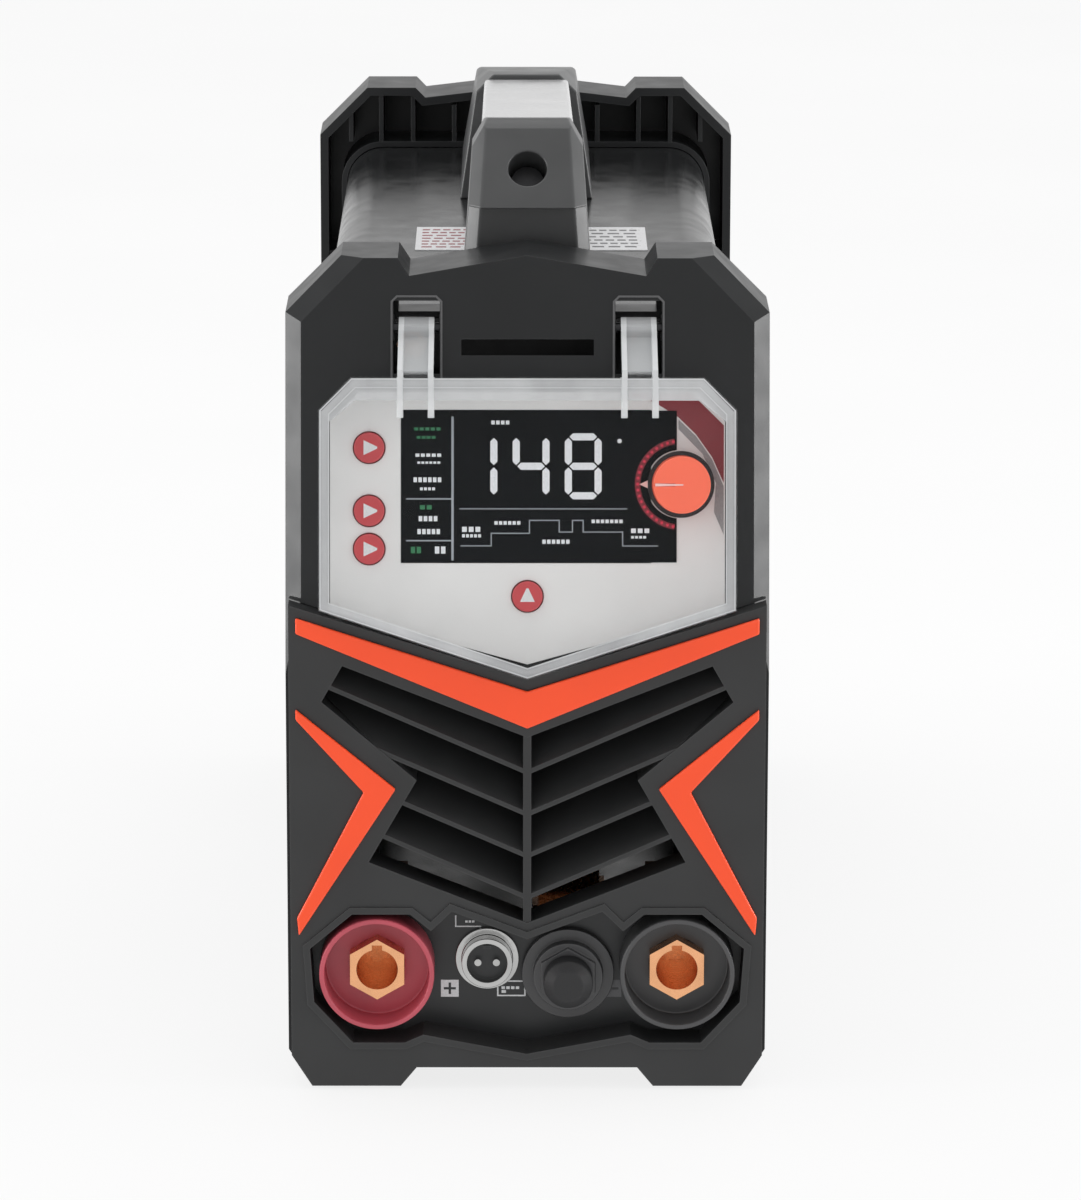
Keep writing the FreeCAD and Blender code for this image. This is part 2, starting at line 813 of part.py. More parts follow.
def make_knob():
    start = -overlay_thick - 1.5
    shaft = rod("encoder_shaft_rod", (knob_across, 6.5, knob_height), shaft_radius,
                knob_length + 4.5, "y")
    place(shaft, (knob_across, start - knob_length + 2.5, knob_height), (1, 0, 0), -90)
    piece("encoder_shaft", on_face(group("encoder_shaft", [shaft])))
    skirt = rod("knob_skirt", (knob_across, start - 3.5, knob_height), knob_skirt_radius, 3.5)
    cap = rod("knob_cap", (knob_across, start - knob_length, knob_height), knob_cap_radius,
              knob_length - 3)
    bore = rod("knob_bore", (knob_across, start - knob_length + 2.5, knob_height), shaft_radius,
               knob_length)
    room = rod("knob_bushing_room", (knob_across, start - 0.6, knob_height), bushing_radius + 0.6, 5)
    pointer = box("knob_pointer", (knob_across - knob_cap_radius - 1, start - knob_length - 1,
                                   knob_height - 0.4), (knob_cap_radius - 1, 1.6, 0.8))
    return piece("encoder_knob", on_face(cut("encoder_knob", fuse("knob", skirt, cap), bore, room,
                                             pointer)))


def flap_outline():
    """The flip cover's outline in the face's frame."""
    return mirrored([
        (0, flap_tip),
        (flap_half, flap_side_foot),
        (flap_half, flap_top - flap_corner),
        (flap_half - flap_corner, flap_top),
    ])


def make_flap():
    outline = flap_outline()
    rest_gap = overlay_thick + 0.5
    block = on_face_plate("flap_block", outline, -flap_depth, flap_depth - rest_gap)
    hollow = on_face_plate("flap_hollow", inset(outline, flap_wall), flap_wall - flap_depth,
                           flap_depth)
    tray = cut("flap_tray", block, hollow)
    arms = [flap_arm(side) for side in (-1, 1)]
    whole = fuse("flap_whole", tray, *arms)
    bores = []
    for side in (-1, 1):
        low = side * hinge_across - slot_width / 2
        bores.append(on_face(rod(f"arm_bore_{side:+d}", (low, hinge_inset, hinge_height),
                                 pin_radius + pin_clearance, slot_width, "x")))
    return piece("flip_cover", cut_all("flip_cover", whole, bores))


def flap_arm(side):
    """A bent arm from the hinge pin out and down over the cover's upper edge."""
    name = f"arm_{side:+d}"
    low = side * hinge_across - arm_width / 2
    outer = -flap_depth
    profile = [
        (hinge_inset + 1, hinge_height - 3.2),
        (hinge_inset + 1, hinge_height + 1),
        (hinge_inset - 4, hinge_height + 1),
        (outer - 1.2, flap_top + 2.2),
        (outer - 1.2, flap_top - 12),
        (outer + 0.4, flap_top - 12),
        (outer + 0.4, flap_top - 0.6),
        (outer + 3, flap_top - 0.6),
        (hinge_inset - 5, hinge_height - 5),
    ]
    bar = plate(name, "side", profile, 0, arm_width)
    place(bar, (low, face_foot, face_foot_height), (1, 0, 0), -face_lean.value)
    bar.setExpression("Placement.Rotation.Angle", (0 - face_lean).text)
    barrel = on_face(rod(name + "_barrel", (low, hinge_inset, hinge_height), pin_radius + 1.7,
                         arm_width, "x"))
    trough = plate(name + "_trough", "side", [
        (hinge_inset - 5, hinge_height + 11),
        (outer - 20, hinge_height),
        (outer - 20, flap_top - 18),
        (outer, flap_top - 18),
        (outer, flap_top - 0.4),
        (hinge_inset - 5, hinge_height - 3.2),
    ], 0, arm_width - 2 * arm_leg)
    place(trough, (low + arm_leg, face_foot, face_foot_height), (1, 0, 0), -face_lean.value)
    trough.setExpression("Placement.Rotation.Angle", (0 - face_lean).text)
    return cut(name + "_arm", fuse(name + "_solid", bar, barrel), trough)


def make_hinge_pins():
    pins = [hinge_pin(f"pin_{side:+d}", side) for side in (-1, 1)]
    return piece("hinge_pins", group("hinge_pins", pins))


make_overlay()
make_display()
make_buttons()
make_switches()
make_control_board()
make_encoder()
make_knob()
make_flap()
make_hinge_pins()

# ---------------------------------------------------------------- connectors

def make_connector_panel():
    grown = inset(recess_outline, -1.6)
    board = plate("connector_board", "front", grown, recess_floor, 2.5)
    holes = []
    for side in (-1, 1):
        holes.append(rod(f"socket_hole_{side:+d}", (side * socket_across, recess_floor - 1,
                                                    socket_height), socket_shank + fit_gap, 10))
    holes.append(rod("remote_hole", (remote_across, recess_floor - 1, remote_height),
                     remote_radius - 0.5 + 0.1, 10))
    holes.append(rod("gas_hole", (gas_across, recess_floor - 1, gas_height), gas_shank + 0.1, 10))
    return piece("connector_panel", cut_all("connector_panel", board, holes))


def make_socket(name, side):
    centre = side * socket_across
    length = recess_depth + 1
    collar = rod(name + "_collar", (centre, socket_face, socket_height), socket_radius, length)
    shank = rod(name + "_shank", (centre, recess_floor, socket_height), socket_shank, socket_tail)
    cup = rod(name + "_cup", (centre, socket_face - 1, socket_height), cup_radius, cup_depth + 1)
    through = rod(name + "_through", (centre, front, socket_height), 8.3, 60)
    body = cut(name, fuse(name + "_mould", collar, shank), cup, through)
    piece(name + "_body", body)
    nose_start = socket_face + 5.5
    floor = socket_face + cup_depth
    nose = regular(name + "_nose", (centre, nose_start, socket_height), socket_hex,
                   floor - nose_start, turned=30)
    stem = rod(name + "_stem", (centre, floor - 0.5, socket_height), 8.3, insert_tail)
    bore = rod(name + "_bore", (centre, nose_start - 1, socket_height), socket_bore_radius, 32)
    key = box(name + "_key", (centre - 1.6, nose_start - 1, socket_height), (3.2, 14, 7.9))
    piece(name + "_insert", cut(name + "_brass", fuse(name + "_insert", nose, stem), bore, key))


def make_remote_connector():
    face = recess_floor - 6.5
    barrel = rod("remote_barrel", (remote_across, face, remote_height), remote_radius, 6.5)
    washer = rod("remote_washer", (remote_across, recess_floor - 1.5, remote_height),
                 remote_radius + 2, 1.5)
    tail = rod("remote_tail", (remote_across, recess_floor, remote_height), remote_radius - 0.5, 14)
    bore = rod("remote_bore", (remote_across, face - 1, remote_height), remote_radius - 1.7, 30)
    piece("remote_connector_shell",
          cut("remote_shell", fuse("remote_outer", barrel, washer, tail), bore))
    core = rod("remote_core", (remote_across, face + 3.2, remote_height), remote_radius - 1.7, 18)
    key = box("remote_key", (remote_across - 1.2, face + 0.4, remote_height + 4.6), (2.4, 3.2, 1.2))
    piece("remote_connector_insert", fuse("remote_insert", core, key))
    pins = []
    for side in (-1, 1):
        pins.append(rod(f"remote_pin_{side:+d}", (remote_across + side * 2.9, face + 0.8,
                                                  remote_height), 1.1, 2.4))
    piece("remote_connector_pins", group("remote_connector_pins", pins))


def make_gas_outlet():
    flange_face = recess_floor - 3
    hex_face = flange_face - 5
    nipple_face = hex_face - 7
    flange = rod("gas_flange", (gas_across, flange_face, gas_height), gas_flange_radius, 3)
    ring = rod("gas_ring", (gas_across, hex_face + 1.5, gas_height), gas_cap_radius + 3.2, 3.5)
    nut = regular("gas_nut", (gas_across, hex_face, gas_height), 17, 5, turned=30)
    nipple = rod("gas_nipple", (gas_across, nipple_face, gas_height), nipple_radius, 8)
    shank = rod("gas_shank_rod", (gas_across, recess_floor - 1, gas_height), gas_shank, 16)
    barb = rod("gas_barb", (gas_across, recess_floor + 15, gas_height), 3.2, 14)
    bore = rod("gas_bore", (gas_across, nipple_face - 1, gas_height), 2.2, 60)
    piece("gas_outlet_fitting",
          cut("gas_outlet", fuse("gas_solid", flange, ring, nut, nipple, shank, barb), bore))
    cap_face = front - cap_reach
    length = hex_face - 0.4 - cap_face
    crown = cone("gas_cap_crown", (gas_across, cap_face, gas_height), gas_cap_radius - 3,
                 gas_cap_radius, 3)
    skirt = rod("gas_cap_skirt", (gas_across, cap_face + 3, gas_height), gas_cap_radius, length - 3)
    room = rod("gas_cap_room", (gas_across, nipple_face - 0.5, gas_height), nipple_radius + 0.08, 30)
    piece("gas_outlet_cap", cut("gas_cap", fuse("gas_cap_solid", crown, skirt), room))


make_connector_panel()
make_socket("positive_socket", -1)
make_socket("negative_socket", 1)
make_remote_connector()
make_gas_outlet()

# ---------------------------------------------------------------- sheet metal

def make_cover():
    length = cover_end - cover_start
    outer = cover_tunnel("cover_outer", 0, cover_start, length)
    inner = cover_tunnel("cover_inner", -cover_sheet, cover_start - 1, length + 2)
    foot_room = box("cover_foot_room", (-half, cover_start - 1, tray_height - 5),
                    (bezel_width, length + 2, 5 + cover_sheet))
    slots = []
    for side in (-1, 1):
        for row in range(2):
            for index in range(9):
                slots.append(box(f"vent_{side:+d}_{row}_{index}",
                                 (side * cover_half - 3,
                                  front + 225 + index * 13,
                                  90 + row * 50),
                                 (6, 5, 38)))
    screws = [rod(f"cover_hole_{index}", (low, along, height), 1.8, 12, "x")
              for index, (low, along, height) in enumerate(cover_screw_places(-6))]
    return piece("top_cover", cut("top_cover", outer, inner, foot_room,
                                  group("cover_vents", slots), group("cover_holes", screws)))


def cover_screw_places(offset):
    """Start points of the screws through the cover's sides."""
    places = []
    for side in (-1, 1):
        for along in (front_bezel_end + 18, case_length - rear_bezel_depth - 18):
            places.append((side * cover_half + offset, front + along, tray_height + 22))
    return places


def make_tray():
    start = front + face_set_back + bezel_wall + 6
    length = cover_end - start
    side = cover_half - cover_sheet - sheet_gap
    floor = box("tray_floor", (-side, start, tray_height), (2 * side, length, cover_sheet))
    flanges = [box(f"tray_flange_{index}", (low, cover_start + 6, tray_height),
                   (cover_sheet, cover_end - cover_start - 12, tray_flange))
               for index, low in enumerate((-side, side - cover_sheet))]
    screws = [rod(f"tray_hole_{index}", (low, along, height), 1.8, 12, "x")
              for index, (low, along, height) in enumerate(cover_screw_places(-6))]
    return piece("base_tray", cut("base_tray", fuse("tray_bent", floor, *flanges),
                                  group("tray_holes", screws)))


def make_cover_screws():
    screws = []
    for index, (x, along, height) in enumerate(cover_screw_places(0)):
        side = -1 if index < 2 else 1
        low = x if side > 0 else x - 2
        head = rod(f"cover_screw_head_{index}", (low, along, height), 3.4, 2, "x")
        shank_low = x - 7 if side > 0 else x
        shank = rod(f"cover_screw_shank_{index}", (shank_low, along, height), 1.6, 7, "x")
        screws.append(fuse(f"cover_screw_{index}", head, shank))
    return piece("cover_screws", group("cover_screws", screws))


make_cover()
make_tray()
make_cover_screws()

# ---------------------------------------------------------------- rear bezel and rear panel

def make_rear_bezel():
    block = plate("rear_block", "front", rear_outline, rear_rim, rear_bezel_depth)
    hollow = plate("rear_hollow", "front", inset(rear_outline, bezel_wall), rear_rim - 1,
                   rear_bezel_depth + 1 - bezel_wall)
    shell = cut("rear_shell", block, hollow)
    depth = rear_bezel_depth - 1
    outer = cover_tunnel("rear_collar", sheet_gap + 2, rear_rim, depth)
    opening = cover_tunnel("rear_opening", -6, rear_rim - 5, rear_bezel_depth + 20)
    frame = fuse("rear_frame", shell, outer, *collar_ribs("rear", rear_rim + 1, depth - 1))
    room = cover_tunnel("rear_panel_room", sheet_gap, rear_rim - 1,
                        rear_bezel_depth + 1 - bezel_wall)
    return piece("rear_bezel", cut("rear_bezel", frame, room, opening))


fan_y = rear_panel_y - fan_depth


def make_rear_panel():
    sheet_plate = cover_tunnel("rear_plate", -cover_sheet - sheet_gap, rear_panel_y, rear_plate)
    holes = [
        rod("fan_opening", (0, rear_panel_y - 1, fan_height), fan_size / 2 - 4, 5),
        box("rocker_opening", (rocker_across - rocker_half, rear_panel_y - 1,
                               rocker_height - rocker_half_height),
            (2 * rocker_half, 5, 2 * rocker_half_height)),
        rod("gland_opening", (gland_across, rear_panel_y - 1, gland_height), 8.1, 5),
        rod("inlet_opening", (inlet_across, rear_panel_y - 1, inlet_height), 5.1, 5),
        rod("earth_opening", (earth_across, rear_panel_y - 1, earth_height), 3.05, 5),
    ]
    for index, (x, z) in enumerate(fan_corners()):
        holes.append(rod(f"fan_screw_hole_{index}", (x, rear_panel_y - 1, z), 2.1, 5))
    return piece("rear_panel", cut_all("rear_panel", sheet_plate, holes))


def fan_corners():
    reach = fan_size / 2 - 7.5
    return [(side * reach, fan_height + level * reach) for side in (-1, 1) for level in (-1, 1)]


def make_fan():
    outer = box("fan_block", (-fan_size / 2, fan_y, fan_height - fan_size / 2),
                (fan_size, fan_depth, fan_size))
    bore = rod("fan_bore", (0, fan_y - 1, fan_height), fan_size / 2 - 3, fan_depth + 2)
    hub_plate = rod("fan_motor_plate", (0, fan_y + fan_depth - 3, fan_height), fan_hub_radius, 3)
    spokes = []
    for index in range(4):
        spoke = box(f"fan_spoke_{index}", (-1.5, fan_y + fan_depth - 3, fan_height),
                    (3, 3, fan_size / 2 - 2))
        place(spoke, (0, fan_y + fan_depth - 3, fan_height), (0, 1, 0), 45 + 90 * index)
        spokes.append(spoke)
    axle = rod("fan_axle", (0, fan_y + 6, fan_height), 2, fan_depth - 8)
    holes = [rod(f"fan_hole_{index}", (x, fan_y - 1, z), 2.1, fan_depth + 2)
             for index, (x, z) in enumerate(fan_corners())]
    frame = cut("fan_ring", outer, bore, *holes)
    piece("fan_frame", fuse("fan_frame", frame, hub_plate, axle, *spokes))
    hub = rod("fan_hub", (0, fan_y + 2, fan_height), fan_hub_radius, fan_depth - 6)
    hub_bore = rod("fan_hub_bore", (0, fan_y + 5, fan_height), 2.05, fan_depth)
    blades = []
    for index in range(fan_blade_count):
        blade = box(f"fan_blade_{index}", (0, 0, 0), (1.6, fan_depth - 10, fan_size / 2 - 6))
        tilt = FreeCAD.Rotation(FreeCAD.Vector(0, 0, 1), 35)
        spin = FreeCAD.Rotation(FreeCAD.Vector(0, 1, 0), 360 / fan_blade_count * index)
        place(blade, (0, fan_y + fan_depth / 2 - 5.5, fan_height))
        blade.Placement.Rotation = spin.multiply(tilt)
        blades.append(blade)
    sweep = rod("fan_sweep", (0, fan_y + 2, fan_height), fan_size / 2 - 5, fan_depth - 6)
    blades = common("fan_blades", fuse("fan_blade_set", *blades), sweep)
    piece("fan_rotor", cut("fan_rotor", fuse("fan_rotor_solid", hub, blades), hub_bore))


def ring_wire(name, radius, wire, y, z):
    thing = doc.addObject("Part::Torus", name)
    bind(thing, "Radius1", radius)
    bind(thing, "Radius2", wire)
    return place(thing, (0, y, z), (1, 0, 0), -90)


def make_fan_guard():
    wire = 1.1
    y = rear_panel_y + rear_plate + wire
    shapes = [ring_wire(f"guard_ring_{index}", fan_size / 2 - 5 - 10 * index, wire, y, fan_height)
              for index in range(5)]
    for index, (x, z) in enumerate(fan_corners()):
        side = math.copysign(1, x.value)
        level = 1 if index % 2 else -1
        bar = rod(f"guard_bar_{index}", (0, y, fan_height), wire, fan_size / 2 * 1.2, "z")
        place(bar, (0, y, fan_height), (0, 1, 0), 45 * side if level > 0 else 135 * side)
        foot = rod(f"guard_eye_{index}", (x, rear_panel_y + rear_plate, z), 4, 2.2)
        eye = rod(f"guard_eye_hole_{index}", (x, rear_panel_y, z), 2.1, 6)
        shapes.append(cut(f"guard_arm_{index}", fuse(f"guard_leg_{index}", bar, foot), eye))
    centre = rod("guard_centre", (0, y - wire, fan_height), 9, 1.2)
    return piece("fan_guard", fuse("fan_guard", centre, *shapes))


def make_fan_screws():
    screws = []
    for index, (x, z) in enumerate(fan_corners()):
        head = rod(f"fan_screw_head_{index}", (x, rear_panel_y + rear_plate + 2.2, z), 3.6, 2.4)
        shank = rod(f"fan_screw_shank_{index}", (x, fan_y + 4, z), 2,
                    fan_depth + rear_plate + 2.2 - 4)
        screws.append(fuse(f"fan_screw_{index}", head, shank))
    return piece("fan_screws", group("fan_screws", screws))


def make_power_switch():
    outside = rear_panel_y + rear_plate
    bezel = box("switch_rim", (rocker_across - rocker_half - 1.5, outside,
                               rocker_height - rocker_half_height - 1.5),
                (2 * rocker_half + 3, 2, 2 * rocker_half_height + 3))
    case = box("switch_case", (rocker_across - rocker_half + 0.1, outside - 22,
                               rocker_height - rocker_half_height + 0.1),
               (2 * rocker_half - 0.2, 22, 2 * rocker_half_height - 0.2))
    room = box("switch_room", (rocker_across - rocker_half + 2, outside - 11,
                               rocker_height - rocker_half_height + 2),
               (2 * rocker_half - 4, 20, 2 * rocker_half_height - 4))
    pivot = rod("switch_pivot_hole", (rocker_across - rocker_half + 0.8, outside - 3, rocker_height),
                1.56, 2 * rocker_half - 1.6, "x")
    piece("power_switch_case", cut("power_switch_case", fuse("switch_body", bezel, case), room,
                                   pivot))
    wide = 2 * rocker_half - 4.8
    low = rocker_across - wide / 2
    profile = [(-4, -4.5), (4.6, -11.2), (4.6, -9.6), (1.2, 0), (-0.2, 9.6), (-1.4, 11.4),
               (-4, 4.5)]
    rocker = plate("rocker_plate", "side", profile, 0, wide)
    place(rocker, (low, outside - 0.6, rocker_height))
    axle = rod("rocker_axle", (rocker_across - rocker_half + 1, outside - 3, rocker_height), 1.5,
               2 * rocker_half - 2, "x")
    piece("power_rocker", fuse("power_rocker", rocker, axle))


def make_inlets():
    outside = rear_panel_y + rear_plate
    nut = regular("gland_nut", (gland_across, outside, gland_height), 22, 6)
    dome = cone("gland_dome", (gland_across, outside + 6, gland_height), 10.5, 7.5, 9)
    thread = rod("gland_thread", (gland_across, outside - 12, gland_height), 8, 13)
    lock = regular("gland_lock", (gland_across, outside - rear_plate - 5, gland_height), 22, 5)
    bore = rod("gland_bore", (gland_across, outside - 20, gland_height), 4.5, 60)
    piece("cable_gland", cut("cable_gland", fuse("gland_solid", nut, dome, thread, lock), bore))
    nozzle_nut = regular("inlet_nut", (inlet_across, outside, inlet_height), 16, 6)
    tip = rear_edge + nozzle_reach
    nozzle = rod("inlet_nozzle", (inlet_across, outside + 5, inlet_height), 4, tip - outside - 5)
    barbs = [cone(f"inlet_barb_{index}", (inlet_across, tip - 5 - 5 * index, inlet_height), 5, 4, 4)
             for index in range(3)]
    thread = rod("inlet_thread", (inlet_across, outside - 14, inlet_height), 5, 15)
    lock = regular("inlet_lock", (inlet_across, outside - rear_plate - 4, inlet_height), 16, 4)
    bore = rod("inlet_bore", (inlet_across, outside - 20, inlet_height), 2.2, 80)
    piece("gas_inlet_nozzle",
          cut("gas_inlet", fuse("inlet_solid", nozzle_nut, nozzle, thread, lock, *barbs), bore))
    bolt = rod("earth_bolt", (earth_across, outside - 12, earth_height), 3, 27)
    nut = regular("earth_nut", (earth_across, outside, earth_height), 10, 4)
    lock = regular("earth_lock", (earth_across, outside - rear_plate - 4, earth_height), 10, 4)
    wing = rod("earth_wing_hub", (earth_across, outside + 4, earth_height), 5, 3)
    piece("earth_stud", fuse("earth_stud", bolt, nut, lock, wing))


make_rear_bezel()
make_rear_panel()
make_fan()
make_fan_guard()
make_fan_screws()
make_power_switch()
make_inlets()

# ---------------------------------------------------------------- handle


def handle_block(name, profile, outline):
    """A block with one outline from the side and another from the front."""
    side_view = plate(name + "_side", "side", profile, -half, bezel_width)
    front_view = plate(name + "_front", "front", outline, front, case_length)
    return common(name, side_view, front_view)


def tilted(name, shapes, at, angle):
    """Shapes drawn along +Z, moved to a point and turned about X."""
    return place(group(name, shapes), at, (1, 0, 0), angle)


def handle_screw_seats():
    """Where each handle screw enters, and the angle that turns +Z into the handle."""
    lean = math.degrees(math.atan2(post_lean_run.value, post_lean_rise.value))
    face_middle = (0, front + post_front + post_lean_run / 2, handle_top - 2 - post_lean_rise / 2)
    rear_top = (0, front + rear_post_start + 66, handle_top - grip_drop - 14)
    return [("front", face_middle, -90 - lean), ("rear", rear_top, 180)]


def screw_hole(name, at, angle):
    head = rod(name + "_head_room", (0, 0, -10), screw_head_radius + 1, 10 + screw_sink, "z")
    shank = rod(name + "_shank_room", (0, 0, 0), screw_radius + 0.1, screw_sink + 14, "z")
    return tilted(name, [fuse(name, head, shank)], at, angle)


def make_front_post():
    foot = front + post_front
    top = handle_top
    profile = [
        (foot + 5, cover_top),
        (foot + post_depth + 16, cover_top),
        (foot + post_depth, top - grip_thick - 1.2),
        (foot + post_depth, top - 1.2),
        (foot + post_lean_run + 6, top),
        (foot + post_lean_run, top - 2),
        (foot, top - 2 - post_lean_rise),
        (foot + 5, top - 2 - post_lean_rise),
    ]
    outline = mirrored([
        (post_base_half, cover_top),
        (post_top_half, top - 8),
        (post_top_half - 4.5, top),
    ])
    block = handle_block("front_post", profile, outline)
    doc.recompute()
    faceted = doc.addObject("Part::Chamfer", "front_post_faceted")
    faceted.Base = block
    flat = post_chamfer.value
    faceted.Edges = [(number, flat, flat) for number in front_corner_edges(block.Shape)]
    hole = screw_hole("front_post_hole", *handle_screw_seats()[0][1:])
    return piece("handle_front_post", cut("handle_front_post", faceted, hole))


def front_corner_edges(shape):
    """Edges between a face that looks forward and one that looks sideways."""
    found = []
    for number, edge in enumerate(shape.Edges, start=1):
        normals = [face.normalAt(0, 0) for face in shape.Faces
                   if any(side.isSame(edge) for side in face.Edges)]
        forward = any(normal.y < -0.6 for normal in normals)
        sideways = any(abs(normal.x) > 0.9 for normal in normals)
        if forward and sideways:
            found.append(number)
    return found


def make_grip():
    start = front + post_front + post_depth
    end = front + rear_post_start
    top = handle_top - 1.2
    profile = [
        (start, top),
        (start, top - grip_thick),
        (end, top - grip_drop - grip_thick + 2),
        (end, top - grip_drop),
    ]
    outline = mirrored([
        (grip_half - 4, 200),
        (grip_half, 206),
        (grip_half, top + 20),
    ])
    return piece("handle_grip", handle_block("grip", profile, outline))


def make_rear_post():
    start = front + rear_post_start
    top = handle_top - grip_drop + 0.5
    end = rear_rim - 4
    profile = [
        (start, cover_top),
        (end, cover_top),
        (end, cover_top + 6),
        (start + 50, top - 5),
        (start + 6, top),
        (start, top),
    ]
    outline = mirrored([
        (rear_post_base_half, cover_top),
        (post_top_half, top - 6),
        (post_top_half - 6, top),
    ])
    block = handle_block("rear_post", profile, outline)
    hole = screw_hole("rear_post_hole", *handle_screw_seats()[1][1:])
    return piece("handle_rear_post", cut("handle_rear_post", block, hole))


make_front_post()
make_grip()
make_rear_post()


def make_handle_screws():
    screws = []
    for name, at, angle in handle_screw_seats():
        head = rod(name + "_screw_head", (0, 0, screw_sink - 4), screw_head_radius, 4, "z")
        shank = rod(name + "_screw_shank", (0, 0, screw_sink - 1), screw_radius, 14, "z")
        screws.append(tilted(name + "_screw", [fuse(name + "_screw", head, shank)], at, angle))
    return piece("handle_screws", group("handle_screws", screws))


make_handle_screws()

# ---------------------------------------------------------------- labels

def make_labels():
    for name, low, wide, deep in (("warning_label", -37, 28, 42), ("rating_label", 9, 31, 42)):
        piece(name, box(name, (low, front + 160, cover_top), (wide, deep, 0.25)))


make_labels()

# ---------------------------------------------------------------- power circuit

def make_main_board():
    board = box("main_board_blank", (-57, front + 80, main_board_height), (114, 250, board_thick))
    holes = [rod(f"board_hole_{index}", (x, y, main_board_height - 1), 1.7, 5, "z")
             for index, (x, y) in enumerate(standoff_places())]
    return piece("main_board", cut_all("main_board", board, holes))


def standoff_places():
    return [(side * 52, front + along) for side in (-1, 1) for along in (106, 322)]


def make_standoffs():
    low = tray_height + cover_sheet
    posts = [rod(f"standoff_{index}", (x, y, low), 3.5, main_board_height - low, "z")
             for index, (x, y) in enumerate(standoff_places())]
    return piece("board_standoffs", group("board_standoffs", posts))


board_top = main_board_height + board_thick


def make_heatsink(name, side):
    inner = 12
    outer = 50
    low = inner if side > 0 else -outer
    base = box(name + "_base", (low, front + 190, board_top), (outer - inner, 120, 6))
    fins = [box(f"{name}_fin_{index}", (low + 0.2 + index * 5.1, front + 190, board_top + 5),
                (1.8, 120, 50)) for index in range(8)]
    return piece(name, fuse(name, base, *fins))


def make_power_devices():
    devices = []
    for side in (-1, 1):
        for index in range(4):
            low = 50 if side > 0 else -54.5
            devices.append(box(f"device_{side:+d}_{index}",
                               (low, front + 198 + index * 28, board_top), (4.5, 16, 22)))
    return piece("power_devices", group("power_devices", devices))


def make_capacitors():
    cans = [rod(f"capacitor_{index}", (-36 + 36 * index, front + 166, board_top), 14.5, 42, "z")
            for index in range(3)]
    return piece("bulk_capacitors", group("bulk_capacitors", cans))


def make_transformer():
    y = front + 112
    block = box("core_block", (-2, y, board_top), (54, 30, 46))
    windows = [box(f"core_window_{index}", (low, y - 1, board_top + 9), (12, 32, 28))
               for index, low in enumerate((5, 33))]
    piece("transformer_core", cut("transformer_core", block, *windows))
    coil = box("coil_block", (5.3, y - 6, board_top + 9.3), (39.4, 42, 27.4))
    room = box("coil_room", (16.7, y - 7, board_top + 9), (16.6, 44, 29))
    ends = [box(f"coil_end_{index}", (5.3, low, board_top + 9.3), (39.4, 5.7, 27.4))
            for index, low in enumerate((y - 6, y + 30.3))]
    piece("transformer_coil", fuse("transformer_coil", cut("coil_sides", coil, room), *ends))


def make_choke():
    core = doc.addObject("Part::Torus", "choke_ring")
    bind(core, "Radius1", 15)
    bind(core, "Radius2", 8.5)
    place(core, (-32, front + 118, board_top + 8.6))
    return piece("output_choke", core)


def make_bus_bars():
    bars = []
    for side in (-1, 1):
        start = socket_face + cup_depth - 0.5 + insert_tail
        low = side * socket_across - 8
        foot = box(f"bar_lug_{side:+d}", (low, start, socket_height - 8), (16, 2.5, 16))
        arm = box(f"bar_arm_{side:+d}", (low, start, socket_height + 5), (16, 55, 2.5))
        bars.append(fuse(f"bus_bar_{side:+d}", foot, arm))
    return piece("bus_bars", group("bus_bars", bars))


def make_gas_valve():
    low = tray_height + cover_sheet
    body = box("valve_body", (2, front + 96, low), (24, 34, 20))
    coil = box("valve_coil", (4, front + 102, low + 20), (20, 22, 22))
    spouts = [rod("valve_spout_front", (14, front + 84, low + 10), 3.2, 14),
              rod("valve_spout_rear", (14, front + 128, low + 10), 3.2, 14)]
    return piece("gas_valve", fuse("gas_valve", body, coil, *spouts))


def tube_between(name, points, radius, bend):
    """A hose along straight runs joined by tangent arcs."""
    route = [FreeCAD.Vector(*[float(value) for value in point]) for point in points]
    edges = []
    last = route[0]
    for before, corner, after in zip(route, route[1:], route[2:]):
        inward = (before - corner).normalize()
        outward = (after - corner).normalize()
        turn = math.pi - inward.getAngle(outward)
        reach = bend * math.tan(turn / 2)
        start = corner + inward * reach
        end = corner + outward * reach
        bisector = (inward + outward).normalize()
        middle = corner + bisector * (bend / math.cos(turn / 2) - bend)
        edges.append(Part.LineSegment(last, start).toShape())
        edges.append(Part.Arc(start, middle, end).toShape())
        last = end
    edges.append(Part.LineSegment(last, route[-1]).toShape())
    path = Part.Wire(edges)
    ring = Part.Circle(route[0], route[1] - route[0], radius).toShape()
    hose = path.makePipeShell([Part.Wire(ring)], True, False)
    core_ring = Part.Circle(route[0], route[1] - route[0], radius - 1.3).toShape()
    core = path.makePipeShell([Part.Wire(core_ring)], True, False)
    thing = doc.addObject("Part::Feature", name)
    thing.Shape = hose.cut(core)
    return thing


def make_hoses():
    low = tray_height + cover_sheet + 10
    outlet = recess_floor + 29
    front_hose = tube_between("hose_front", [
        (gas_across, outlet - 10, gas_height),
        (gas_across, outlet + 12, gas_height),
        (14, front + 66, low),
        (14, front + 96, low)], 4.6, 12)
    rear_end = rear_panel_y - 14
    rear_hose = tube_between("hose_rear", [
        (14, front + 130, low),
        (14, front + 340, low),
        (14, front + 340, 50),
        (inlet_across, front + 340, 158),
        (inlet_across, front + 352, inlet_height),
        (inlet_across, rear_end, inlet_height)], 4.6, 8)
    return piece("gas_hoses", group("gas_hoses", [front_hose, rear_hose]))


make_main_board()
make_standoffs()
make_heatsink("heatsink_left", -1)
make_heatsink("heatsink_right", 1)
make_power_devices()
make_capacitors()
make_transformer()
make_choke()
make_bus_bars()
make_gas_valve()
make_hoses()

# ---------------------------------------------------------------- checks and export

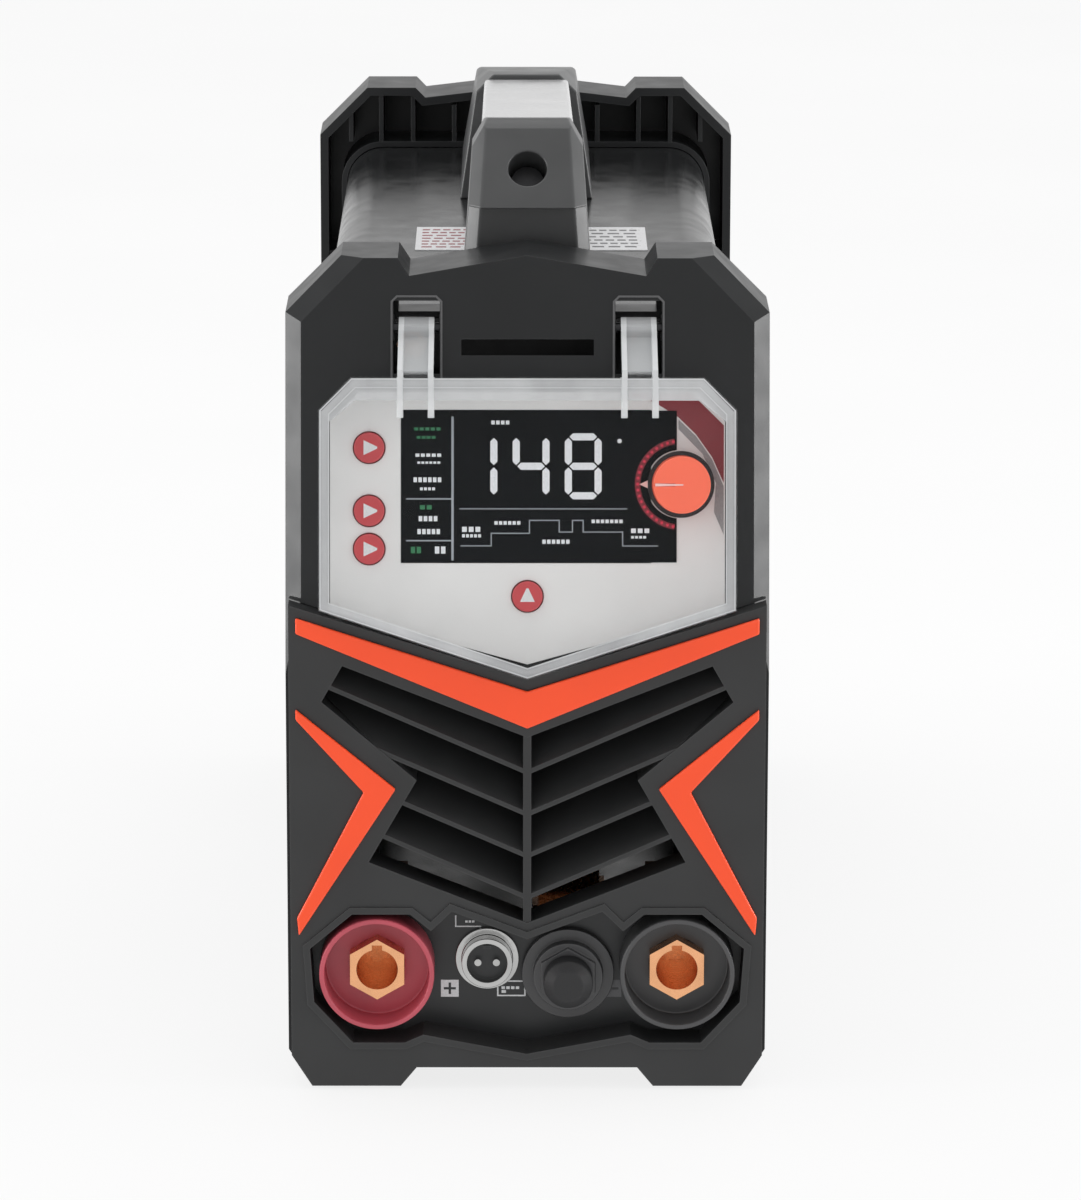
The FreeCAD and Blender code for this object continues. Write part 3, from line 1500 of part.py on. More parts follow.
doc.recompute()
for thing in doc.Objects:
    if "Invalid" in thing.State or "Error" in thing.State:
        raise RuntimeError(f"{thing.Name} did not build: {thing.State}")
os.makedirs("parts", exist_ok=True)
for name, thing in pieces.items():
    if thing.Shape.isNull() or not thing.Shape.isValid():
        raise RuntimeError(f"{name} has no valid shape")
    thing.Shape.exportStep(f"parts/{name}.step")
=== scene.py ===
"""Looks, light and camera for the TIG welding machine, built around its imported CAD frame."""

import json
import math

import bmesh
import bpy
from mathutils import Matrix, Vector


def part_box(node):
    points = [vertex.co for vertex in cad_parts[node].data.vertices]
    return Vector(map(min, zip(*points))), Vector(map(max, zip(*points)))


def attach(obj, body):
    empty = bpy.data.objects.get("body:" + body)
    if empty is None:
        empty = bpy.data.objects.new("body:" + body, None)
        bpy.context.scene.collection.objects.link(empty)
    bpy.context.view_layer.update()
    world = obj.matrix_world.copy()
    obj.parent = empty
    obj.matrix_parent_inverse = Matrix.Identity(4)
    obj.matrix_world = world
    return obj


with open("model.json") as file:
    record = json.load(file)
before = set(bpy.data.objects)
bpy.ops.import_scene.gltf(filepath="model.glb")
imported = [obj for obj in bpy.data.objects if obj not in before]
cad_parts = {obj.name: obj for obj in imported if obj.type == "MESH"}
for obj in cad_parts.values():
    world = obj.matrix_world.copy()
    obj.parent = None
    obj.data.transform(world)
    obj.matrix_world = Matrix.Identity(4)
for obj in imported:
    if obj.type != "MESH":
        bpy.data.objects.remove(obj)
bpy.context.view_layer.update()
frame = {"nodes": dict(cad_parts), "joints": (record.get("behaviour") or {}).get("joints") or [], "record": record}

MM = 0.001
NODES = frame["nodes"]
SLOT_OF = {row["node"]: row["material_slot"] for row in frame["record"]["subparts"]}
JOINTS = {joint["name"]: joint for joint in frame["joints"]}


# ---------------------------------------------------------------- materials

# Width of the lighter edge band: partly rubbed wear, partly painted highlight.
EDGE_SHEEN_AND_WEAR_M = 0.0007
TOOL_MARK_SCALE, TOOL_MARK_DEPTH_M = 900.0, 0.00001


def nodes_of(name):
    """A new material's node tree, its Principled shader and the object coordinates."""
    paint = bpy.data.materials.new(name)
    paint.use_nodes = True
    tree = paint.node_tree
    shader = tree.nodes["Principled BSDF"]
    place = tree.nodes.new("ShaderNodeTexCoord").outputs["Object"]
    return paint, tree, shader, place


def noise(tree, place, scale, detail=3.0, stretch=None):
    """A noise texture's value; stretch scales the coordinates along each axis first."""
    if stretch:
        mapping = tree.nodes.new("ShaderNodeMapping")
        mapping.inputs["Scale"].default_value = stretch
        tree.links.new(place, mapping.inputs["Vector"])
        place = mapping.outputs["Vector"]
    texture = tree.nodes.new("ShaderNodeTexNoise")
    texture.inputs["Scale"].default_value = scale
    texture.inputs["Detail"].default_value = detail
    tree.links.new(place, texture.inputs["Vector"])
    return texture.outputs["Fac"]


def ranged(tree, value, low, high, start=0.3, end=0.7):
    """A value mapped from start..end to low..high and held there."""
    node = tree.nodes.new("ShaderNodeMapRange")
    node.inputs["From Min"].default_value = start
    node.inputs["From Max"].default_value = end
    node.inputs["To Min"].default_value = low
    node.inputs["To Max"].default_value = high
    tree.links.new(value, node.inputs["Value"])
    return node.outputs["Result"]


def blend_colours(tree, factor, first, second):
    """Mixes two colours; each is an RGB tuple or an output socket."""
    node = tree.nodes.new("ShaderNodeMix")
    node.data_type = "RGBA"
    tree.links.new(factor, node.inputs["Factor"])
    for socket, colour in ((node.inputs[6], first), (node.inputs[7], second)):
        if isinstance(colour, tuple):
            socket.default_value = (*colour, 1.0)
        else:
            tree.links.new(colour, socket)
    return node.outputs[2]


def shade(colour, factor):
    """A colour made lighter or darker."""
    return tuple(min(1.0, part * factor) for part in colour)


def bumped(tree, shader, height, distance, strength=1.0):
    """Drives the shader's normal from a height value."""
    bump = tree.nodes.new("ShaderNodeBump")
    bump.inputs["Distance"].default_value = distance
    bump.inputs["Strength"].default_value = strength
    tree.links.new(height, bump.inputs["Height"])
    tree.links.new(bump.outputs["Normal"], shader.inputs["Normal"])


def edge_sheen_and_wear_mask(tree, radius):
    """1 on outer and inner edges of the shape and 0 on its flat faces."""
    bevel = tree.nodes.new("ShaderNodeBevel")
    bevel.samples = 4
    bevel.inputs["Radius"].default_value = radius
    geometry = tree.nodes.new("ShaderNodeNewGeometry")
    turn = tree.nodes.new("ShaderNodeVectorMath")
    turn.operation = "DOT_PRODUCT"
    tree.links.new(bevel.outputs["Normal"], turn.inputs[0])
    tree.links.new(geometry.outputs["Normal"], turn.inputs[1])
    return ranged(tree, turn.outputs["Value"], 1.0, 0.0, 0.86, 0.995)


def joined(tree, kind, first, second):
    """A Math node of two values; the second is a number or an output socket."""
    node = tree.nodes.new("ShaderNodeMath")
    node.operation = kind
    tree.links.new(first, node.inputs[0])
    if isinstance(second, float):
        node.inputs[1].default_value = second
    else:
        tree.links.new(second, node.inputs[1])
    return node.outputs["Value"]


def moulded(name, colour, rough, grain=2600.0, depth=0.000012, mottle=0.12, edge_sheen_and_wear=0.0,
            specular=0.5):
    """Moulded plastic: spark-eroded grain, faint cloudiness, and lighter edges: rubbed wear and painted highlight.
    """
    paint, tree, shader, place = nodes_of(name)
    cloud = noise(tree, place, 45.0, 4.0)
    tone = blend_colours(tree, ranged(tree, cloud, 0.0, 1.0), shade(colour, 1.0 - mottle),
                         shade(colour, 1.0 + mottle))
    # Lighter edges: partly rubbed wear, partly a painted highlight where the chamfers catch the light.
    if edge_sheen_and_wear:
        edge = edge_sheen_and_wear_mask(tree, EDGE_SHEEN_AND_WEAR_M)
        sheen_and_wear_breakup = ranged(tree, noise(tree, place, 300.0, 5.0), 0.25, 1.0)
        lighter = tuple(part + edge_sheen_and_wear for part in colour)
        tone = blend_colours(tree, joined(tree, "MULTIPLY", edge, sheen_and_wear_breakup), tone, lighter)
    tree.links.new(tone, shader.inputs["Base Color"])
    fine = noise(tree, place, grain, 2.0)
    uneven = ranged(tree, noise(tree, place, 90.0, 3.0), rough - 0.04, rough + 0.05)
    tree.links.new(uneven, shader.inputs["Roughness"])
    shader.inputs["Specular IOR Level"].default_value = specular
    bumped(tree, shader, fine, depth)
    return paint


def metal(name, colour, rough, stretch):
    """Bare or plated metal with directional tool marks and slight tarnish."""
    paint, tree, shader, place = nodes_of(name)
    tarnish = ranged(tree, noise(tree, place, 120.0, 4.0), 0.0, 1.0)
    tone = blend_colours(tree, tarnish, colour, shade(colour, 0.82))
    tree.links.new(tone, shader.inputs["Base Color"])
    marks = noise(tree, place, TOOL_MARK_SCALE, 3.0, stretch)
    tree.links.new(ranged(tree, marks, rough - 0.05, rough + 0.08), shader.inputs["Roughness"])
    shader.inputs["Metallic"].default_value = 1.0
    bumped(tree, shader, marks, TOOL_MARK_DEPTH_M)
    return paint


def dotted(tree, vector, direction):
    """The dot product of a vector socket with a fixed direction."""
    node = tree.nodes.new("ShaderNodeVectorMath")
    node.operation = "DOT_PRODUCT"
    tree.links.new(vector, node.inputs[0])
    node.inputs[1].default_value = direction
    return node.outputs["Value"]


def rising(tree, up, face, foot, fade, top):
    """0 below a height on a plane, top above it, with a fade in millimetres between."""
    return ranged(tree, up, 0.0, top, face.point(0, foot, 0).dot(face.along),
                  face.point(0, foot + fade, 0).dot(face.along))


def clear(name, face):
    """Clear moulded polycarbonate: a polished plate, paler walls, hazy arms and pale arm ribs."""
    paint, tree, shader, place = nodes_of(name)
    facing = dotted(tree, place.node.outputs["Normal"], face.outward)
    walls = ranged(tree, joined(tree, "ABSOLUTE", facing, 0.0), 0.6, 0.006, 0.05, 0.6)
    aside = joined(tree, "ABSOLUTE", dotted(tree, place, face.across), 0.0)
    aside = joined(tree, "ABSOLUTE", joined(tree, "SUBTRACT", aside, HINGE_X * MM), 0.0)
    up = dotted(tree, place, face.along)
    ribs = joined(tree, "MULTIPLY",
                  ranged(tree, aside, 0.0, 0.62, RIB_INNER * MM, (RIB_INNER + STEP) * MM),
                  rising(tree, up, face, RIB_FOOT, STEP, 1.0))
    ribs = joined(tree, "MULTIPLY", ribs,
                  ranged(tree, aside, 1.0, 0.0, RIB_OUTER * MM, (RIB_OUTER + STEP) * MM))
    arms = joined(tree, "MAXIMUM", ribs, rising(tree, up, face, ARM_FOOT, ARM_FADE, 0.38))
    tree.links.new(joined(tree, "MAXIMUM", walls, arms), shader.inputs["Alpha"])
    haze = noise(tree, place, 70.0, 3.0)
    tone = blend_colours(tree, haze, (0.74, 0.76, 0.77), (0.86, 0.87, 0.88))
    tree.links.new(tone, shader.inputs["Base Color"])
    shader.inputs["Roughness"].default_value = 0.05
    shader.inputs["Specular IOR Level"].default_value = 0.12
    bumped(tree, shader, noise(tree, place, 55.0, 1.0), 0.0001, 0.3)
    return paint


def frosted(name, low, high):
    """A frosted or bevelled zone of clear plastic: pale, cloudy and half see-through."""
    paint, tree, shader, place = nodes_of(name)
    cloud = noise(tree, place, 40.0, 4.0, (1.0, 1.0, 0.3))
    tone = blend_colours(tree, cloud, (0.52, 0.53, 0.54), (0.78, 0.79, 0.80))
    tree.links.new(tone, shader.inputs["Base Color"])
    tree.links.new(ranged(tree, cloud, low, high), shader.inputs["Alpha"])
    shader.inputs["Roughness"].default_value = 0.25
    return paint


def printed(name, colour, rough=0.4, glow=0.0, fleck=0.08):
    """Screen-printed or lit ink: slightly uneven density with a fine dot grain."""
    paint, tree, shader, place = nodes_of(name)
    density = ranged(tree, noise(tree, place, 2200.0, 2.0), 0.0, 1.0)
    tone = blend_colours(tree, density, shade(colour, 1.0 - fleck), shade(colour, 1.0 + fleck))
    tree.links.new(tone, shader.inputs["Base Color"])
    if glow:
        tree.links.new(tone, shader.inputs["Emission Color"])
        shader.inputs["Emission Strength"].default_value = glow
    uneven = ranged(tree, noise(tree, place, 400.0, 2.0), rough - 0.03, rough + 0.04)
    tree.links.new(uneven, shader.inputs["Roughness"])
    return paint


def banded(name, colour, dark, spacing, rough, metallic, axis, depth):
    """Wound wire, board tracks or fins: regular bands with rounded crowns."""
    paint, tree, shader, place = nodes_of(name)
    wave = tree.nodes.new("ShaderNodeTexWave")
    wave.bands_direction = axis
    wave.inputs["Scale"].default_value = 0.314 / spacing
    wave.inputs["Distortion"].default_value = 0.4
    tree.links.new(place, wave.inputs["Vector"])
    tree.links.new(blend_colours(tree, wave.outputs["Fac"], dark, colour),
                   shader.inputs["Base Color"])
    tree.links.new(ranged(tree, noise(tree, place, 300.0, 3.0), rough - 0.05, rough + 0.07),
                   shader.inputs["Roughness"])
    shader.inputs["Metallic"].default_value = metallic
    bumped(tree, shader, wave.outputs["Fac"], depth)
    return paint


class Plane:
    """A flat place on the object, with across, along and outward directions from an origin."""

    def __init__(self, origin, along, outward):
        self.origin = Vector(origin)
        self.along = Vector(along)
        self.outward = Vector(outward)
        self.across = self.along.cross(self.outward)

    def point(self, across, along, out):
        """The point at across, along and out millimetres, in metres."""
        return (self.origin + self.across * across * MM + self.along * along * MM
                + self.outward * out * MM)

    def reach(self, node):
        """How far a node stands out from the plane, in millimetres."""
        return max((v.co - self.origin).dot(self.outward) for v in NODES[node].data.vertices) / MM


# The sloping control face: a point on it, and the knob's axis straight out of it.
FACE_POINT = (0.0, -0.18898, 0.157)
outward = Vector(JOINTS["knob_turn"]["axis"])
FACE = Plane(FACE_POINT, outward.cross(Vector((1, 0, 0))), outward)

# The flip cover's arms, in millimetres on the control face: two ribs beside each hinge's middle.
HINGE_X = 34.3
RIB_FOOT, RIB_INNER, RIB_OUTER = 56.0, 3.7, 5.7
ARM_FOOT, ARM_FADE = 69.0, 1.5
STEP = 0.1

PAINT = {
    "case_plastic": moulded("case_plastic", (0.0085, 0.0092, 0.0100), 0.36, edge_sheen_and_wear=0.02,
                            specular=0.36),
    "panel_plastic": moulded("panel_plastic", (0.025, 0.0255, 0.026), 0.42, edge_sheen_and_wear=0.03,
                             specular=0.42),
    "orange_plastic": moulded("orange_plastic", (1.0, 0.075, 0.010), 0.33, edge_sheen_and_wear=0.10, mottle=0.04),
    "silver_film": moulded("silver_film", (0.78, 0.78, 0.77), 0.36, 4200.0, 0.000008, 0.03),
    "display_black": moulded("display_black", (0.003, 0.004, 0.005), 0.16, 60.0, 0.00001, 0.2,
                             specular=0.06),
    "clear_plastic": clear("clear_plastic", FACE),
    "blackened_steel": metal("blackened_steel", (0.05, 0.05, 0.052), 0.35, (1.0, 1.0, 6.0)),
    "plated_steel": metal("plated_steel", (0.60, 0.60, 0.61), 0.28, (1.0, 1.0, 12.0)),
    "knob_orange": moulded("knob_orange", (0.98, 0.155, 0.08), 0.40, edge_sheen_and_wear=0.08, mottle=0.04),
    "button_red": moulded("button_red", (0.55, 0.055, 0.065), 0.35, mottle=0.06, edge_sheen_and_wear=0.08),
    "black_resin": moulded("black_resin", (0.013, 0.014, 0.015), 0.34, edge_sheen_and_wear=0.03),
    "board_green": banded("board_green", (0.02, 0.17, 0.07), (0.01, 0.10, 0.04), 0.0025,
                          0.35, 0.0, "X", 0.00003),
    "maroon_resin": moulded("maroon_resin", (0.46, 0.068, 0.095), 0.34, 1400.0, 0.000015, 0.15,
                            edge_sheen_and_wear=0.05),
    "brass_metal": metal("brass_metal", (0.90, 0.46, 0.24), 0.27, (1.0, 8.0, 1.0)),
    "chrome_metal": metal("chrome_metal", (0.52, 0.52, 0.515), 0.14, (1.0, 9.0, 1.0)),
    "black_rubber": moulded("black_rubber", (0.014, 0.014, 0.015), 0.62, 1500.0, 0.00006),
    "cover_paint": moulded("cover_paint", (0.011, 0.0115, 0.012), 0.22, 700.0, 0.000012, 0.10),
    "rocker_red": moulded("rocker_red", (0.55, 0.02, 0.02), 0.22, mottle=0.05),
    "grip_plastic": moulded("grip_plastic", (0.45, 0.45, 0.455), 0.20, 3000.0, 0.00001, 0.05),
    "label_film": printed("label_film", (0.62, 0.62, 0.63), 0.3),
    "heatsink_aluminium": banded("heatsink_aluminium", (0.72, 0.72, 0.73), (0.55, 0.55, 0.56),
                                 0.0012, 0.35, 1.0, "Z", 0.00002),
    "capacitor_sleeve": moulded("capacitor_sleeve", (0.02, 0.035, 0.10), 0.25, mottle=0.05),
    "ferrite": moulded("ferrite", (0.05, 0.05, 0.052), 0.55, 900.0, 0.00008, 0.25),
    "copper_metal": banded("copper_metal", (0.45, 0.19, 0.08), (0.18, 0.06, 0.025), 0.0016,
                           0.32, 0.9, "Z", 0.0003),
}
SOCKET_PAINT = moulded("socket_grey", (0.062, 0.062, 0.064), 0.34, edge_sheen_and_wear=0.05)
FROST = frosted("frosted_band", 0.45, 0.72)
# Pale strips on the flip cover's outer edge and ridge: painted highlight.
EDGE_LIGHT = frosted("edge_light", 0.75, 0.9)
# Slot rims: pale grey as a painted edge highlight.
RIM_HIGHLIGHT_PAINT = moulded("rim_painted_highlight", (0.09, 0.09, 0.092), 0.36)
POST_PAINT = moulded("post_plastic", (0.050, 0.051, 0.052), 0.36, edge_sheen_and_wear=0.05)
INK_WHITE = printed("ink_white", (0.72, 0.73, 0.74), 0.4)
# Dim ink: real print on the rating label, and painted shade on the minus sign.
DIM_INK_AND_PAINTED_SHADE = printed("dim_ink_and_painted_shade", (0.12, 0.12, 0.125), 0.4)
LIT_WHITE = printed("lit_white", (0.60, 0.62, 0.64), 0.3, 0.25)
LIT_GREY = printed("lit_grey", (0.30, 0.33, 0.36), 0.3, 0.15)
LIT_GREEN = printed("lit_green", (0.015, 0.16, 0.06), 0.3, 0.15)
INK_RED = printed("ink_red", (0.24, 0.025, 0.035), 0.35)
# Grey of the painted shadow beside the corner accent on the silver film.
SHADOW_GREY = printed("painted_shadow_grey", (0.30, 0.30, 0.305), 0.35, fleck=0.15)
DIAL_RED = printed("dial_red", (0.22, 0.006, 0.02), 0.3)
DOT_RED = printed("dot_red", (0.62, 0.02, 0.06), 0.3, 0.1)
PALE_PINK = printed("pale_pink", (0.85, 0.55, 0.52), 0.4)


# ---------------------------------------------------------------- CAD nodes

EDGE_MM = {"front_bezel": 0.55, "rear_bezel": 0.55, "grille_panel": 0.45, "handle_front_post": 0.7,
           "handle_rear_post": 0.7, "handle_grip": 1.2, "chevron_trim_top": 0.5,
           "chevron_trim_left": 0.5, "chevron_trim_right": 0.5, "connector_panel": 0.4,
           "positive_socket_body": 0.6, "negative_socket_body": 0.6, "encoder_knob": 0.6,
           "positive_socket_insert": 0.3, "negative_socket_insert": 0.3, "flip_cover": 0.3,
           "gas_outlet_cap": 0.5, "gas_outlet_fitting": 0.3, "remote_connector_shell": 0.25,
           "button_upper": 0.3, "button_middle": 0.3, "button_lower": 0.3, "button_centre": 0.3,
           "power_rocker": 0.4, "power_switch_case": 0.3, "cable_gland": 0.4, "fan_frame": 0.4,
           "top_cover": 0.25, "control_overlay": 0.15}


WELD_M = 0.00001
FLAT_DEGREES, SHARP_DEGREES = 0.5, 28


def soften(node, width):
    """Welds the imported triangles, merges flat ones and rounds the sharp edges."""
    thing = NODES[node]
    mesh = thing.data
    for polygon in mesh.polygons:
        polygon.use_smooth = True
    weld = thing.modifiers.new("weld", "WELD")
    weld.merge_threshold = WELD_M
    flat = thing.modifiers.new("flat", "DECIMATE")
    flat.decimate_type = "DISSOLVE"
    flat.angle_limit = math.radians(FLAT_DEGREES)
    bevel = thing.modifiers.new("edge", "BEVEL")
    bevel.width = width * MM
    bevel.segments = 2
    bevel.limit_method = "ANGLE"
    bevel.angle_limit = math.radians(SHARP_DEGREES)
    bevel.use_clamp_overlap = True
    bevel.harden_normals = False
    normals = thing.modifiers.new("normals", "WEIGHTED_NORMAL")
    normals.keep_sharp = False


for node, thing in NODES.items():
    thing.data.materials.clear()
    thing.data.materials.append(PAINT[SLOT_OF[node]])
for node in ("handle_front_post", "handle_rear_post"):
    NODES[node].data.materials[0] = POST_PAINT
for node in ("negative_socket_body", "gas_outlet_fitting"):
    NODES[node].data.materials[0] = SOCKET_PAINT
for node, width in EDGE_MM.items():
    soften(node, width)


# ---------------------------------------------------------------- flat detail pieces

def raised(name, plane, outlines, out, thick, paint, body):
    """One piece of flat shapes, each outline in millimetres on the plane."""
    form = bmesh.new()
    for outline in outlines:
        area = sum(a[0] * b[1] - b[0] * a[1] for a, b in zip(outline, outline[1:] + outline[:1]))
        ordered = outline if area > 0 else outline[::-1]
        low = [form.verts.new(plane.point(x, s, out)) for x, s in ordered]
        high = [form.verts.new(plane.point(x, s, out + thick)) for x, s in ordered]
        form.faces.new(high)
        form.faces.new(low[::-1])
        count = len(ordered)
        for i in range(count):
            j = (i + 1) % count
            form.faces.new((low[i], low[j], high[j], high[i]))
    mesh = bpy.data.meshes.new(name)
    form.to_mesh(mesh)
    form.free()
    thing = bpy.data.objects.new(name, mesh)
    bpy.context.scene.collection.objects.link(thing)
    mesh.materials.append(paint)
    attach(thing, body)


def bar(x0, s0, x1, s1):
    """A rectangle from one corner to the other."""
    return [(x0, s0), (x1, s0), (x1, s1), (x0, s1)]


def frame_bars(x0, s0, x1, s1, wide):
    """The four sides of a rectangle's outline."""
    return [bar(x0, s0, x1, s0 + wide), bar(x0, s1 - wide, x1, s1),
            bar(x0, s0 + wide, x0 + wide, s1 - wide), bar(x1 - wide, s0 + wide, x1, s1 - wide)]


def line(points, wide):
    """A polyline of upright and level strokes, one rectangle for each."""
    half = wide / 2
    return [bar(min(a[0], b[0]) - half, min(a[1], b[1]) - half,
                max(a[0], b[0]) + half, max(a[1], b[1]) + half)
            for a, b in zip(points, points[1:])]


def arc(x, s, radius, start, end, steps):
    """Points on an arc, angles in degrees from across towards along."""
    turn = [math.radians(start + (end - start) * i / steps) for i in range(steps + 1)]
    return [(x + radius * math.cos(a), s + radius * math.sin(a)) for a in turn]


def disc(x, s, radius, sides=10):
    """A small round dot."""
    return arc(x, s, radius, 0, 360 - 360 / sides, sides - 1)


INK_THICK = 0.08
film_top = FACE.reach("control_overlay")
KNOB_X = JOINTS["knob_turn"]["pos_m"][0] / MM
KNOB_S = (Vector(JOINTS["knob_turn"]["pos_m"]) - FACE.origin).dot(FACE.along) / MM

# The dark window film runs round the left half of the knob.
GLASS_LEFT, GLASS_RIGHT, GLASS_LOW, GLASS_TOP = -38.9, 46.1, 11.4, 58.3
KNOB_ROOM = 10.6
side = math.degrees(math.acos((GLASS_RIGHT - KNOB_X) / KNOB_ROOM))
glass = [(GLASS_LEFT, GLASS_LOW), (GLASS_RIGHT, GLASS_LOW)]
glass += arc(KNOB_X, KNOB_S, KNOB_ROOM, 360 - side, side, 40)
glass += [(GLASS_RIGHT, GLASS_TOP), (GLASS_LEFT, GLASS_TOP)]
GLASS_THICK = 0.2
raised("display_film", FACE, [glass], film_top, GLASS_THICK, PAINT["display_black"], "chassis")
lit = film_top + GLASS_THICK
LIT_THICK = 0.06


def segment(x0, s0, x1, s1, wide):
    """One bar of a seven-segment figure with bevelled ends."""
    half = wide / 2
    if x0 == x1:
        return [(x0, s0), (x0 + half, s0 + half), (x0 + half, s1 - half), (x0, s1),
                (x0 - half, s1 - half), (x0 - half, s0 + half)]
    return [(x0, s0), (x0 + half, s0 - half), (x1 - half, s0 - half), (x1, s0),
            (x1 - half, s0 + half), (x0 + half, s0 + half)]


SEGMENTS = {"1": "bc", "4": "bcfg", "8": "abcdefg"}
FIGURE_WIDE, FIGURE_HIGH, FIGURE_LOW, FIGURE_PITCH = 9.2, 18.2, 32.0, 16.1
STROKE, GAP = 2.2, 0.35


def figure(digit, x):
    """The lit bars of one figure whose left bars stand at x."""
    middle = FIGURE_LOW + FIGURE_HIGH / 2
    top = FIGURE_LOW + FIGURE_HIGH
    right = x + FIGURE_WIDE
    ends = {
        "a": (x + GAP, top, right - GAP, top), "g": (x + GAP, middle, right - GAP, middle),
        "d": (x + GAP, FIGURE_LOW, right - GAP, FIGURE_LOW),
        "f": (x, middle + GAP, x, top - GAP), "b": (right, middle + GAP, right, top - GAP),
        "e": (x, FIGURE_LOW + GAP, x, middle - GAP),
        "c": (right, FIGURE_LOW + GAP, right, middle - GAP),
    }
    return [segment(*ends[key], STROKE) for key in SEGMENTS[digit]]


FIRST_FIGURE_X = -19.6
figures = []
for i, digit in enumerate("148"):
    figures += figure(digit, FIRST_FIGURE_X + FIGURE_PITCH * i)
raised("display_figures", FACE, figures, lit, LIT_THICK, LIT_WHITE, "chassis")

rules = [bar(-23.5, 12.0, -22.8, 56.4), bar(-37.5, 30.8, -23.5, 31.2), bar(-37.5, 17.9, -23.5, 18.3),
         bar(-21.0, 27.8, 30.8, 28.1)]
rules += line([(-20.5, 16.5), (-11.2, 16.5), (-11.2, 20.4), (0.6, 20.4), (0.6, 24.4), (9.8, 24.4),
               (9.8, 20.8), (13.9, 20.8), (13.9, 24.4), (17.2, 24.4), (17.2, 20.8), (29.4, 20.8),
               (29.4, 16.5), (40.2, 16.5)], 0.3)
raised("display_rules", FACE, rules, lit, LIT_THICK, LIT_GREY, "chassis")


def dashes(x0, x1, s, high, count):
    """A row of short bars that stands for a line of small print."""
    pitch = (x1 - x0) / count
    return [bar(x0 + pitch * i, s - high / 2, x0 + pitch * (i + 0.72), s + high / 2)
            for i in range(count)]


green = dashes(-35.0, -26.4, 52.6, 0.9, 5) + dashes(-34.2, -28.0, 50.0, 0.8, 4)
green += dashes(-33.2, -29.0, 28.4, 1.3, 2) + dashes(-36.0, -32.4, 15.2, 2.0, 2)
raised("display_green_marks", FACE, green, lit, LIT_THICK, LIT_GREEN, "chassis")
white = dashes(-34.6, -26.2, 44.5, 1.0, 5) + dashes(-34.0, -26.6, 42.2, 0.7, 6)
white += dashes(-35.2, -26.2, 36.9, 1.5, 6) + dashes(-33.2, -28.2, 34.1, 0.9, 4)
white += dashes(-33.6, -27.4, 24.9, 1.6, 4) + dashes(-34.0, -26.6, 20.9, 1.6, 5)
white += dashes(-28.6, -24.8, 15.2, 2.2, 2)
white += dashes(-11.2, -5.2, 54.6, 1.2, 4) + dashes(-20.2, -14.0, 21.6, 1.6, 3)
white += dashes(-20.2, -14.0, 19.6, 1.0, 5) + dashes(-10.2, -1.8, 23.6, 1.1, 6)
white += dashes(4.6, 13.4, 17.8, 1.3, 6) + dashes(19.8, 29.8, 24.1, 1.1, 7)
white += dashes(32.0, 38.2, 21.2, 1.4, 3) + dashes(32.0, 37.0, 19.2, 0.8, 4)
white += [disc(28.4, 48.9, 0.7)]
raised("display_white_marks", FACE, white, lit, LIT_THICK, LIT_WHITE, "chassis")

# A dark red band with bright dots is the knob's scale.
DIAL_RADIUS, DIAL_HALF = 13.3, 0.85
DOT_RADIUS, DOT_STEP = 0.5, 8
DIAL_START, DIAL_END = 98, 262
band = arc(KNOB_X, KNOB_S, DIAL_RADIUS + DIAL_HALF, DIAL_START, DIAL_END, 48)
band += arc(KNOB_X, KNOB_S, DIAL_RADIUS - DIAL_HALF, DIAL_END, DIAL_START, 48)
raised("dial_band", FACE, [band], lit, LIT_THICK, DIAL_RED, "chassis")
dots = [disc(*arc(KNOB_X, KNOB_S, DIAL_RADIUS, a, a, 1)[0], DOT_RADIUS)
        for a in range(DIAL_START + 2, DIAL_END, DOT_STEP)]
raised("dial_dots", FACE, dots, lit + LIT_THICK, 0.05, DOT_RED, "chassis")

# Corner accent on the silver film, with a grey painted shadow beside it.
accent = [(30.0, 63.6), (50.6, 63.6), (60.6, 53.8), (60.6, 36.0), (57.0, 44.0), (52.0, 51.0),
          (46.4, 56.4), (39.0, 61.0)]
raised("overlay_accent", FACE, [accent], film_top, INK_THICK, INK_RED, "chassis")
shadow = [(46.6, 55.6), (52.0, 50.4), (57.0, 43.2), (60.6, 35.0), (60.6, 20.0), (57.6, 27.0),
          (58.2, 36.0), (54.0, 45.0), (46.6, 52.6)]
raised("overlay_painted_shadow", FACE, [shadow], film_top, INK_THICK, SHADOW_GREY, "chassis")

# Moulded lines of the flip cover: a bright outer edge and an inner ridge, pale strips of painted
# highlight, a frosted band down each side and along the V, and the sloping top band. The plate's
# outer face is at COVER_OUT.
COVER_OUT = 20.0
COVER_LINE = 0.1
BAND_THICK = 0.08
SIDES_AND_V = (0, 1, 2, 6)


def shrunk(outline, distance):
    """A convex outline, counter-clockwise, moved in by a distance."""
    lines = []
    for a, b in zip(outline, outline[1:] + outline[:1]):
        run, rise = b[0] - a[0], b[1] - a[1]
        size = math.hypot(run, rise)
        lines.append((a[0] - rise / size * distance, a[1] + run / size * distance, run, rise))
    corners = []
    for first, second in zip(lines[-1:] + lines[:-1], lines):
        cross = first[2] * second[3] - first[3] * second[2]
        share = ((second[0] - first[0]) * second[3] - (second[1] - first[1]) * second[2]) / cross
        corners.append((first[0] + first[2] * share, first[1] + first[3] * share))
    return corners


def ring(outline, outer, inner):
    """The band of an outline between two insets, one four-sided shape for each side."""
    out, within = shrunk(outline, outer), shrunk(outline, inner)
    return [[out[i - 1], out[i], within[i], within[i - 1]] for i in range(len(outline))]


